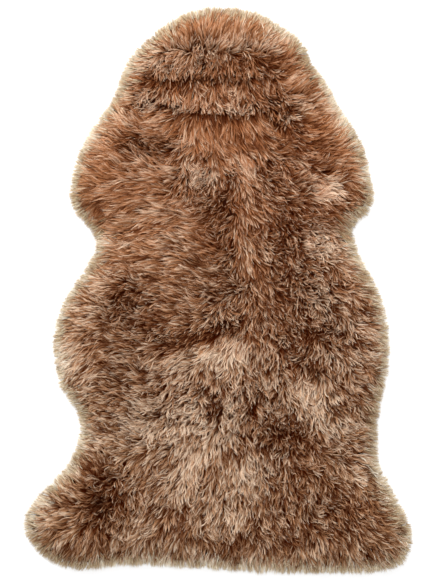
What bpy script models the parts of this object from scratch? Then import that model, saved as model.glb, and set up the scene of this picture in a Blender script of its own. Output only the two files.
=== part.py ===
"""A brown long-wool sheepskin rug, lying flat with its wool up.

The skin and its wool are one piece: a lumpy slab, thick in the middle and thin at its rim, with a row of wool
locks round the rim that lie down on the floor. The origin is on the floor under the middle of the rug, +Y points
to the neck end, +X to the right of someone who stands at the tail end and looks to the neck, and +Z is up.
"""
import math

import bmesh
import bpy
import numpy as np
from mathutils import Vector, geometry, noise

MM = 0.001

# The line that the tips of the wool reach, seen from above and run clockwise from the nape.
# Columns: place, across and along in mm from the middle, and the length in mm of the rim locks there.
OUTLINE = (
    ("nape", 0, 475, 13),
    ("nape right", 66, 467, 13),
    ("neck right", 104, 446, 13),
    ("neck right", 153, 411, 13),
    ("notch under the neck", 158, 379, 12),
    ("fore shoulder right", 184, 353, 13),
    ("fore shoulder right", 206, 307, 13),
    ("shoulder right", 243, 252, 14),
    ("shoulder right", 265, 172, 14),
    ("shoulder lobe right", 269, 148, 14),
    ("shoulder lobe right", 258, 122, 14),
    ("waist right", 227, 109, 13),
    ("waist right", 243, 56, 13),
    ("flank right", 268, 11, 14),
    ("flank right", 288, -50, 14),
    ("flank right", 291, -130, 14),
    ("groin right", 278, -178, 13),
    ("groin right", 270, -262, 13),
    ("thigh right", 285, -314, 14),
    ("thigh right", 310, -357, 15),
    ("foot right", 331, -402, 16),
    ("foot right", 328, -447, 17),
    ("foot right", 300, -470, 18),
    ("tail edge right", 193, -476, 18),
    ("tail edge", 48, -473, 18),
    ("tail edge left", -114, -462, 18),
    ("tail edge left", -150, -467, 17),
    ("notch by the foot", -166, -458, 16),
    ("foot left", -188, -467, 17),
    ("foot left", -250, -470, 17),
    ("foot left", -296, -443, 16),
    ("foot left", -326, -402, 16),
    ("foot left", -324, -369, 15),
    ("thigh left", -290, -332, 15),
    ("thigh left", -254, -298, 14),
    ("groin left", -231, -250, 13),
    ("groin left", -230, -208, 13),
    ("flank left", -264, -163, 14),
    ("flank left", -274, -100, 14),
    ("flank left", -265, -33, 14),
    ("waist left", -207, 57, 13),
    ("waist left", -201, 90, 13),
    ("shoulder lobe left", -217, 106, 13),
    ("shoulder lobe left", -243, 133, 14),
    ("shoulder left", -248, 168, 14),
    ("shoulder left", -223, 249, 14),
    ("fore shoulder left", -175, 318, 13),
    ("neck left", -156, 375, 13),
    ("neck left", -133, 404, 13),
    ("nape left", -68, 458, 13),
)

# How the wool rises and parts on top. Each row is one mound or, where it sinks, one parting or hollow.
# Columns: place, across and along of its middle, half its length, half its width, its turn in degrees from
# across, and its rise. Lengths are in mm.
LIE_OF_THE_WOOL = (
    ("nape mound", 0, 410, 110, 40, 0, 5),
    ("first neck parting", -15, 359, 92, 9, -1, -15),
    ("roll between the partings", -8, 336, 115, 13, 0, 5),
    ("second neck parting", -8, 315, 105, 8, 1, -11),
    ("pocket by the neck", -104, 352, 18, 14, 20, -9),
    ("crease by the neck", 112, 295, 34, 9, 55, -9),
    ("shoulder mound left", -165, 195, 70, 48, 75, 5),
    ("shoulder mound right", 180, 190, 72, 50, -75, 5),
    ("hollow under the shoulder left", -150, 92, 60, 20, 8, -7),
    ("hollow under the shoulder right", 170, 96, 55, 20, -10, -7),
    ("spine parting, fore", 2, 205, 62, 12, -84, -9),
    ("spine parting, middle", 22, 95, 75, 12, -80, -10),
    ("spine parting, hind", 40, -30, 58, 12, -84, -8),
    ("rib mound left", -105, 40, 85, 42, 10, 4),
    ("rib mound right", 130, 20, 80, 45, -12, 4),
    ("slanting parting on the back", -35, -92, 46, 10, 62, -11),
    ("belly mound left", -190, -95, 70, 46, 85, 5),
    ("belly mound right", 205, -85, 75, 46, -85, 5),
    ("whorl on the loin", 186, -66, 18, 15, 0, -7),
    ("loin mound", 20, -150, 95, 60, 90, 5),
    ("hollow on the loin left", -100, -190, 70, 15, 70, -7),
    ("hollow on the loin right", 95, -250, 80, 15, -78, -8),
    ("thigh mound left", -185, -320, 80, 52, 40, 5),
    ("thigh mound right", 215, -330, 80, 52, -45, 5),
    ("rump mound", -20, -350, 90, 60, 90, 4),
    ("pit by the foot left", -188, -355, 20, 14, 70, -9),
    ("pit by the foot right", 150, -390, 30, 13, -60, -8),
    ("dip along the tail edge", 10, -430, 150, 14, 2, -5),
)

RIM_LOCKS = 236
LOCK_STATIONS = 2 * RIM_LOCKS
SAMPLES_PER_POINT = 24
RIM_EASING = 6  # stations to each side that round off the line of the fused wool
TURN_STEP = math.radians(137.5)  # between one lock and the next, so that neighbours never match
SWAY_TURNS = 1.7  # turn steps of the sway for each one of the length
LOCK_SWAY = 4 * MM
LOCK_UNEVENNESS = 0.16
LOCK_HOLDING_BACK = 0.35  # part of the unevenness that keeps the longest tips near the outline
LOCK_CREST = 0.7  # a lock's width along its top, as part of the width on the floor

RIM_HEIGHT = 15 * MM
PILE_HEIGHT = 46 * MM
ROUNDING = 85 * MM  # how far in from the rim the wool reaches its full height
CLUMP_RISE = 7 * MM
CLUMP_WIDTH = 24 * MM
CLUMP_LENGTH = 40 * MM
FINE_CLUMP = 0.5  # size of the finer clumps, as part of the broad ones
FINE_CLUMP_SHARE = 0.6
FINE_CLUMP_LAYER = 7.0  # a place in the noise away from the broad clumps

NET_STEP = 15.5 * MM
NET_CLEARANCE = 10 * MM
NET_SHAKE = 0.17
ROW_TURNS = 61  # turn steps from one row of the net to the next
SHARP_EDGE_DEG = 50

# Where a lock's sections stand along it. Columns: part of its length, part of its root's width, height in mm.
LOCK_SECTIONS = (
    (0.60, 0.86, 9.5),
    (1.00, 0.28, 2.0),
)

WOOL_SRGB = "8F6345"
WOOL_ROUGHNESS = 0.85


def clear_scene():
    for thing in list(bpy.data.objects):
        bpy.data.objects.remove(thing, do_unlink=True)


def linear_colour(hex_text):
    """The linear RGBA of an sRGB hex value."""
    channels = [int(hex_text[i:i + 2], 16) / 255 for i in (0, 2, 4)]
    linear = [c / 12.92 if c <= 0.04045 else ((c + 0.055) / 1.055) ** 2.4 for c in channels]
    return (*linear, 1.0)


def wool_material():
    material = bpy.data.materials.new("brown_sheep_wool")
    material.use_nodes = True
    shader = material.node_tree.nodes["Principled BSDF"]
    shader.inputs["Base Color"].default_value = linear_colour(WOOL_SRGB)
    shader.inputs["Roughness"].default_value = WOOL_ROUGHNESS
    shader.inputs["Metallic"].default_value = 0.0
    return material


def closed_curve(points):
    """A dense smooth closed line through the points, as a Catmull-Rom spline, for any number of columns."""
    here = np.asarray(points, float)
    before, after, beyond = (np.roll(here, shift, axis=0) for shift in (1, -1, -2))
    t = np.arange(SAMPLES_PER_POINT)[None, :, None] / SAMPLES_PER_POINT
    a, b, c, d = (p[:, None, :] for p in (before, here, after, beyond))
    spans = 0.5 * (2 * b + (c - a) * t + (2 * a - 5 * b + 4 * c - d) * t**2 + (3 * b - a - 3 * c + d) * t**3)
    return spans.reshape(-1, here.shape[1])


def even_stations(line, count):
    """Points at equal steps along a closed line whose first two columns are x and y."""
    looped = np.vstack([line, line[:1]])
    steps = np.linalg.norm(np.diff(looped[:, :2], axis=0), axis=1)
    walked = np.concatenate([[0.0], np.cumsum(steps)])
    stops = np.arange(count) / count * walked[-1]
    return np.stack([np.interp(stops, walked, looped[:, k]) for k in range(looped.shape[1])], axis=1)


def eased(line, reach):
    """A closed line with each point at the mean of its neighbours up to reach stations away."""
    return sum(np.roll(line, shift, axis=0) for shift in range(-reach, reach + 1)) / (2 * reach + 1)


def outward_normals(line):
    """Unit normals of a closed clockwise line, pointing away from what it encloses."""
    along = np.roll(line, -1, axis=0) - np.roll(line, 1, axis=0)
    normals = np.stack([-along[:, 1], along[:, 0]], axis=1)
    return normals / np.linalg.norm(normals, axis=1, keepdims=True)


def rim_lines():
    """Where the locks' tips and roots are, seen from above: the tips' line at odd stations, the roots' at even."""
    rows = [(across * MM, along * MM, lock * MM) for _, across, along, lock in OUTLINE]
    tips = even_stations(closed_curve(rows), LOCK_STATIONS)
    smooth = eased(tips, RIM_EASING)
    roots = smooth[:, :2] - outward_normals(smooth[:, :2]) * smooth[:, 2:]
    return tips[1::2, :2], roots[0::2]


def gaps_to_line(points, line):
    """How far each point is from a closed line."""
    start = line[None, :, :]
    span = np.roll(line, -1, axis=0)[None, :, :] - start
    offset = points[:, None, :] - start
    share = np.clip((offset * span).sum(2) / (span**2).sum(2), 0, 1)
    return np.linalg.norm(offset - share[:, :, None] * span, axis=2).min(1)


def is_inside(points, line):
    """Whether each point is inside a closed line, by counting the sides that a ray to +X crosses."""
    x, y = points[:, :1], points[:, 1:]
    x0, y0 = line[:, 0], line[:, 1]
    x1, y1 = np.roll(x0, -1), np.roll(y0, -1)
    spans = (y0 > y) != (y1 > y)
    rise = np.where(y1 == y0, 1.0, y1 - y0)
    return (spans & (x < x0 + (y - y0) * (x1 - x0) / rise)).sum(1) % 2 == 1


def clumps(x, y):
    """The small ups and downs where locks lie over each other, from -1 to 1."""
    broad = noise.noise(Vector((x / CLUMP_WIDTH, y / CLUMP_LENGTH, 0.0)))
    finer = Vector((x / CLUMP_WIDTH / FINE_CLUMP, y / CLUMP_LENGTH / FINE_CLUMP, FINE_CLUMP_LAYER))
    return broad + FINE_CLUMP_SHARE * noise.noise(finer)


def lie_of_the_wool(x, y):
    """How far the mounds and partings lift or sink the wool here."""
    rise = 0.0
    for _, across, along, half_length, half_width, turn, height in LIE_OF_THE_WOOL:
        cos, sin = math.cos(math.radians(turn)), math.sin(math.radians(turn))
        dx, dy = x / MM - across, y / MM - along
        length_share = (dx * cos + dy * sin) / half_length
        width_share = (dy * cos - dx * sin) / half_width
        rise += height * MM * math.exp(-(length_share**4 + width_share**2))
    return rise


def pile_height(x, y, from_rim):
    """The height of the wool over the floor: low at the rim, rounding up to the pile's full height."""
    inward = min(from_rim / ROUNDING, 1.0)
    rounding = math.sqrt(1.0 - (1.0 - inward) ** 2)
    uneven = CLUMP_RISE * clumps(x, y) + lie_of_the_wool(x, y)
    return RIM_HEIGHT + (PILE_HEIGHT - RIM_HEIGHT + uneven) * rounding


def net_points(rim):
    """Points in staggered rows inside the rim, each shaken a little off its place."""
    low, high = rim.min(0), rim.max(0)
    row_step = NET_STEP * math.sqrt(3) / 2
    points = []
    for row in range(int((high[1] - low[1]) / row_step) + 1):
        shift = NET_STEP / 2 * (row % 2)
        for column in range(int((high[0] - low[0]) / NET_STEP) + 1):
            turn = TURN_STEP * (row * ROW_TURNS + column)
            x = low[0] + shift + column * NET_STEP + NET_SHAKE * NET_STEP * math.cos(turn)
            y = low[1] + row * row_step + NET_SHAKE * NET_STEP * math.sin(turn)
            points.append((x, y))
    points = np.array(points)
    points = points[is_inside(points, rim)]
    return points[gaps_to_line(points, rim) > NET_CLEARANCE]


def net_triangles(rim, inner):
    """The triangles of an even net over the rim's points and the inner ones, by their places in that order."""
    flat = [Vector(point) for point in (*rim, *inner)]
    count = len(rim)
    edges = [(i, (i + 1) % count) for i in range(count)]
    _, _, faces, origins, _, _ = geometry.delaunay_2d_cdt(flat, edges, [], 1, 1e-6)
    return [[origins[corner][0] for corner in face] for face in faces]


def add_lock(bm, root, middle, tip, sway):
    """One four-sided lock of wool, from its root on the rim to its tip on the floor.

    root holds the low left, low right, high right and high left corners on the rim.
    """
    forward = tip - middle
    side = (root[1].co - root[0].co) / 2
    side.z = 0
    section = root
    for share, width, height in LOCK_SECTIONS:
        centre = middle + forward * share + side.normalized() * sway * share**2
        spread = side * width
        corners = (
            centre - spread,
            centre + spread,
            centre + spread * LOCK_CREST + Vector((0, 0, height * MM)),
            centre - spread * LOCK_CREST + Vector((0, 0, height * MM)),
        )
        ahead = [bm.verts.new(corner) for corner in corners]
        for k in range(4):
            bm.faces.new((section[k], section[(k + 1) % 4], ahead[(k + 1) % 4], ahead[k]))
        section = ahead
    bm.faces.new(section)


def build_pelt():
    """The whole rug as one closed solid: the net on top, the flat skin below and the locks round the rim."""
    tips, rim = rim_lines()
    inner = net_points(rim)
    from_rim = gaps_to_line(inner, rim)

    bm = bmesh.new()
    low = [bm.verts.new((x, y, 0.0)) for x, y in rim]
    high = [bm.verts.new((x, y, pile_height(x, y, 0.0))) for x, y in rim]
    top = high + [bm.verts.new((x, y, pile_height(x, y, gap))) for (x, y), gap in zip(inner, from_rim)]
    for face in net_triangles(rim, inner):
        bm.faces.new([top[corner] for corner in face])
    for face in net_triangles(rim, []):
        bm.faces.new([low[corner] for corner in reversed(face)])

    for k in range(RIM_LOCKS):
        after = (k + 1) % RIM_LOCKS
        root = [low[k], low[after], high[after], high[k]]
        middle = (low[k].co + low[after].co) / 2
        reach = 1 + LOCK_UNEVENNESS * (math.sin(TURN_STEP * k) - LOCK_HOLDING_BACK)
        tip = middle + (Vector((*tips[k], 0.0)) - middle) * reach
        add_lock(bm, root, middle, tip, LOCK_SWAY * math.cos(TURN_STEP * SWAY_TURNS * k))

    bmesh.ops.recalc_face_normals(bm, faces=bm.faces)
    mesh = bpy.data.meshes.new("pelt")
    bm.to_mesh(mesh)
    bm.free()
    return mesh


def centre_on_floor(mesh):
    """Moves the mesh so that the middle of its box is over the origin."""
    places = np.array([v.co[:2] for v in mesh.vertices])
    middle = (places.min(0) + places.max(0)) / 2
    for v in mesh.vertices:
        v.co.x -= middle[0]
        v.co.y -= middle[1]


def main():
    clear_scene()
    mesh = build_pelt()
    centre_on_floor(mesh)
    mesh.materials.append(wool_material())
    mesh.shade_smooth()
    mesh.set_sharp_from_angle(angle=math.radians(SHARP_EDGE_DEG))
    pelt = bpy.data.objects.new("pelt", mesh)
    bpy.context.scene.collection.objects.link(pelt)


main()
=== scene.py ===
"""The looks of a brown long-wool sheepskin rug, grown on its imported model.

The model gives the rug's outline and the height of its wool. This script lays a suede hide under it, fills
its form with dense underwool, and grows the wool itself: locks of fine tapered strands that are combed as in
the photograph, in stretches from the nape to the tail, with a finer and paler fringe round the rim.
"""
import functools
import math
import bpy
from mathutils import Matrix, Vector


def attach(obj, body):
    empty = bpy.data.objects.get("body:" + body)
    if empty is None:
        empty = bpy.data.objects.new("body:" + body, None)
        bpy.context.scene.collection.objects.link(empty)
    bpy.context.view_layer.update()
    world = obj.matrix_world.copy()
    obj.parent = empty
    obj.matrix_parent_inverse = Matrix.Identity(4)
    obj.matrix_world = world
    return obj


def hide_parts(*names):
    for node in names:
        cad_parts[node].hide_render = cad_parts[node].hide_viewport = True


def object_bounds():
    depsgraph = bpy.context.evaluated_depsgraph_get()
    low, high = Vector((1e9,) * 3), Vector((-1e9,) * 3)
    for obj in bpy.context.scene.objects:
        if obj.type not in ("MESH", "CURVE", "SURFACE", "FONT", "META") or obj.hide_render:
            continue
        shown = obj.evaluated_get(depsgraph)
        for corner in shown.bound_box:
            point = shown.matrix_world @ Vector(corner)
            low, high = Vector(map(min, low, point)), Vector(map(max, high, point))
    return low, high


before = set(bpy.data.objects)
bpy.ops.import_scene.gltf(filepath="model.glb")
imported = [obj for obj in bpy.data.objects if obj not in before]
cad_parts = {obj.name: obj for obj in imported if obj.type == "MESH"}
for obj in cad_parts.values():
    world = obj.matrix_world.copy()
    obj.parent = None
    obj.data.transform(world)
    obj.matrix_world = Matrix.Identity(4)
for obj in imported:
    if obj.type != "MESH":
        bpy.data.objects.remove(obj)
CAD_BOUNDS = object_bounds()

import types

import bmesh
import bpy
import numpy as np
from mathutils import Vector, geometry, kdtree, noise
from mathutils.bvhtree import BVHTree

bl_info = {
    "name": "Sheepskin Rug",
    "version": (1, 0, 0),
    "blender": (4, 5, 0),
    "location": "View3D > Sidebar > Sheepskin",
    "description": "Grows the hide, underwool, fleece and rim wool of a sheepskin rug on its model",
    "category": "Add Mesh",
}

MM = 0.001
NODE = "pelt"
BODY = "root"

# The photograph, for the camera: its size in pixels and the real length of one pixel on the floor.
PHOTO_WIDTH_PX = 436
PHOTO_HEIGHT_PX = 582
PIXEL = 1.671 * MM
RUG_MIDDLE_PX = (217.5, 290.5)

# How the wool is combed. Each row is a place on the rug and the way that the tips point there.
# Columns: place, across and along in mm from the middle, heading in degrees from across to the right,
# and how flat the wool lies, from 0 for standing tufts to 1 for smooth wool.
COMB = (
    ("nape edge", 1, 452, 78, 1.0),
    ("nape edge left", -63, 444, 112, 0.9),
    ("nape edge right", 63, 439, 62, 0.9),
    ("neck edge left", -113, 405, 138, 0.9),
    ("neck edge left", -146, 355, 155, 0.9),
    ("neck edge right", 113, 410, 45, 0.9),
    ("neck edge right", 138, 360, 32, 0.9),
    ("nape whorl", -24, 412, 80, 0.6),
    ("nape left of the whorl", -54, 419, 105, 0.8),
    ("nape right of the whorl", 13, 422, 75, 0.8),
    ("nape below the whorl", -21, 380, 265, 0.7),
    ("curls on the nape left", -96, 385, 200, 0.4),
    ("curls on the nape right", 74, 399, 20, 0.3),
    ("nape right", 54, 372, 290, 0.4),
    ("above the first parting", -13, 365, 268, 0.8),
    ("above the first parting", -71, 365, 262, 0.8),
    ("fan by the pocket", -84, 338, 285, 0.5),
    ("roll left", -113, 327, 215, 0.4),
    ("roll", -38, 332, 275, 0.4),
    ("roll", 21, 332, 268, 0.4),
    ("roll right", 79, 327, 300, 0.4),
    ("left of the second parting", -84, 288, 218, 0.8),
    ("below the second parting", -46, 293, 268, 0.9),
    ("below the second parting", -4, 288, 275, 0.9),
    ("below the second parting", 38, 282, 285, 0.9),
    ("below the second parting", 96, 285, 272, 0.8),
    ("neck right", 146, 310, 25, 0.7),
    ("fore shoulder edge right", 188, 293, 25, 0.9),
    ("fore shoulder edge left", -176, 298, 150, 0.9),
    ("fore shoulder left", -146, 277, 152, 0.9),
    ("fore shoulder left", -96, 277, 165, 0.8),
    ("shoulder left", -180, 235, 158, 0.9),
    ("shoulder left", -205, 201, 165, 0.9),
    ("shoulder left, inner", -113, 210, 165, 0.7),
    ("dark streak on the shoulder", -135, 246, 150, 0.4),
    ("shoulder left", -180, 151, 185, 0.9),
    ("lobe edge left", -230, 143, 200, 0.9),
    ("lobe left", -210, 121, 225, 0.9),
    ("pale curls on the back", -29, 188, 250, 0.4),
    ("back, fore", 13, 252, 290, 0.8),
    ("back, fore", 38, 210, 300, 0.8),
    ("left of the spine", -4, 151, 200, 0.2),
    ("spine", 29, 151, 290, 0.8),
    ("right of the spine", 63, 126, 302, 0.8),
    ("shoulder right, inner", 88, 235, 335, 0.5),
    ("shoulder right, inner", 96, 176, 320, 0.5),
    ("shoulder right", 138, 218, 350, 0.6),
    ("shoulder edge right", 221, 235, 15, 0.9),
    ("shoulder fan, high", 168, 185, 25, 0.55),
    ("shoulder fan, low", 175, 151, 335, 0.55),
    ("lobe right", 238, 160, 355, 0.9),
    ("lobe right, low", 230, 129, 325, 0.9),
    ("waist right", 205, 101, 340, 0.7),
    ("ribs left", -113, 126, 192, 0.9),
    ("ribs left", -63, 101, 170, 0.8),
    ("ribs left", -155, 76, 185, 0.9),
    ("waist edge left", -191, 84, 185, 0.9),
    ("ribs left", -96, 48, 172, 0.9),
    ("ribs left", -29, 48, 155, 0.8),
    ("ribs left", -163, 9, 165, 0.8),
    ("flank edge left", -213, 1, 172, 0.9),
    ("dark curls on the ribs", -155, -24, 190, 0.2),
    ("ribs left, low", -63, -16, 165, 0.8),
    ("ribs left, low", -96, -53, 185, 0.7),
    ("left of the spine, low", 13, 9, 150, 0.5),
    ("spine, middle", 51, 34, 285, 0.8),
    ("spine, low", 46, -41, 268, 0.6),
    ("pale tips by the spine", 18, -33, 235, 0.2),
    ("ribs right, dark", 101, 84, 310, 0.2),
    ("ribs right", 113, 34, 305, 0.4),
    ("ribs right, pale", 171, 79, 335, 0.3),
    ("ribs right, pale", 168, 1, 308, 0.5),
    ("flank edge right", 245, 26, 345, 0.9),
    ("flank right", 213, -24, 315, 0.6),
    ("flank edge right", 272, -49, 350, 0.9),
    ("loin right, dark", 138, -49, 300, 0.3),
    ("sweep left of the spine", -66, -84, 182, 1.0),
    ("sweep left of the spine", -29, -79, 200, 0.9),
    ("under the slanting parting", -46, -108, 215, 0.9),
    ("pale brow of the loin", 18, -103, 255, 0.8),
    ("loin left", -79, -150, 212, 0.5),
    ("flank left, pale", -250, -113, 218, 0.9),
    ("flank left", -230, -136, 222, 0.8),
    ("flank edge left", -260, -66, 195, 0.9),
    ("flank left, inner", -155, -99, 160, 0.8),
    ("flank left, inner", -146, -146, 150, 0.8),
    ("groin left", -208, -183, 180, 0.8),
    ("groin edge left", -216, -233, 182, 0.9),
    ("loin far left", -155, -208, 165, 0.7),
    ("curls on the loin left", -109, -233, 195, 0.6),
    ("curls on the loin", -46, -213, 222, 0.65),
    ("pit on the loin", -8, -195, 265, 0.4),
    ("loin", 74, -138, 268, 0.7),
    ("loin right", 121, -133, 275, 0.6),
    ("loin right, pale", 158, -170, 272, 0.7),
    ("whorl, left", 158, -103, 248, 0.5),
    ("whorl, below", 196, -119, 275, 0.5),
    ("whorl, right", 221, -99, 318, 0.5),
    ("whorl, above", 188, -58, 290, 0.2),
    ("flank edge right, low", 275, -133, 350, 0.9),
    ("flank right, low", 235, -158, 305, 0.6),
    ("groin right", 196, -213, 315, 0.6),
    ("groin edge right", 258, -233, 345, 0.9),
    ("thigh left", -113, -292, 215, 0.8),
    ("loin low, pale", -26, -258, 252, 0.8),
    ("rump", -21, -313, 260, 0.8),
    ("rump", 34, -350, 267, 0.7),
    ("rump right, dark", 104, -267, 278, 0.4),
    ("rump right", 104, -342, 280, 0.6),
    ("thigh right", 168, -300, 305, 0.5),
    ("thigh right", 213, -292, 325, 0.8),
    ("heart of the left foot", -190, -345, 200, 0.05),
    ("foot left, fore", -201, -292, 125, 0.7),
    ("foot edge left, fore", -253, -325, 150, 0.9),
    ("foot left", -280, -370, 183, 0.9),
    ("foot edge left, hind", -260, -420, 222, 0.9),
    ("foot left, hind", -213, -430, 252, 0.8),
    ("foot left, inner", -160, -350, 300, 0.3),
    ("thigh left, low", -121, -367, 232, 0.8),
    ("tail edge left", -79, -434, 262, 0.9),
    ("tail edge", 38, -437, 270, 0.9),
    ("tail edge right", 155, -442, 275, 0.9),
    ("rump, low", -29, -383, 250, 0.8),
    ("rump, low right", 121, -392, 282, 0.6),
    ("foot right", 255, -350, 322, 0.8),
    ("foot edge right", 305, -392, 345, 0.9),
    ("foot right, hind", 288, -442, 300, 0.9),
    ("foot right, inner", 196, -383, 308, 0.6),
)

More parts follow.
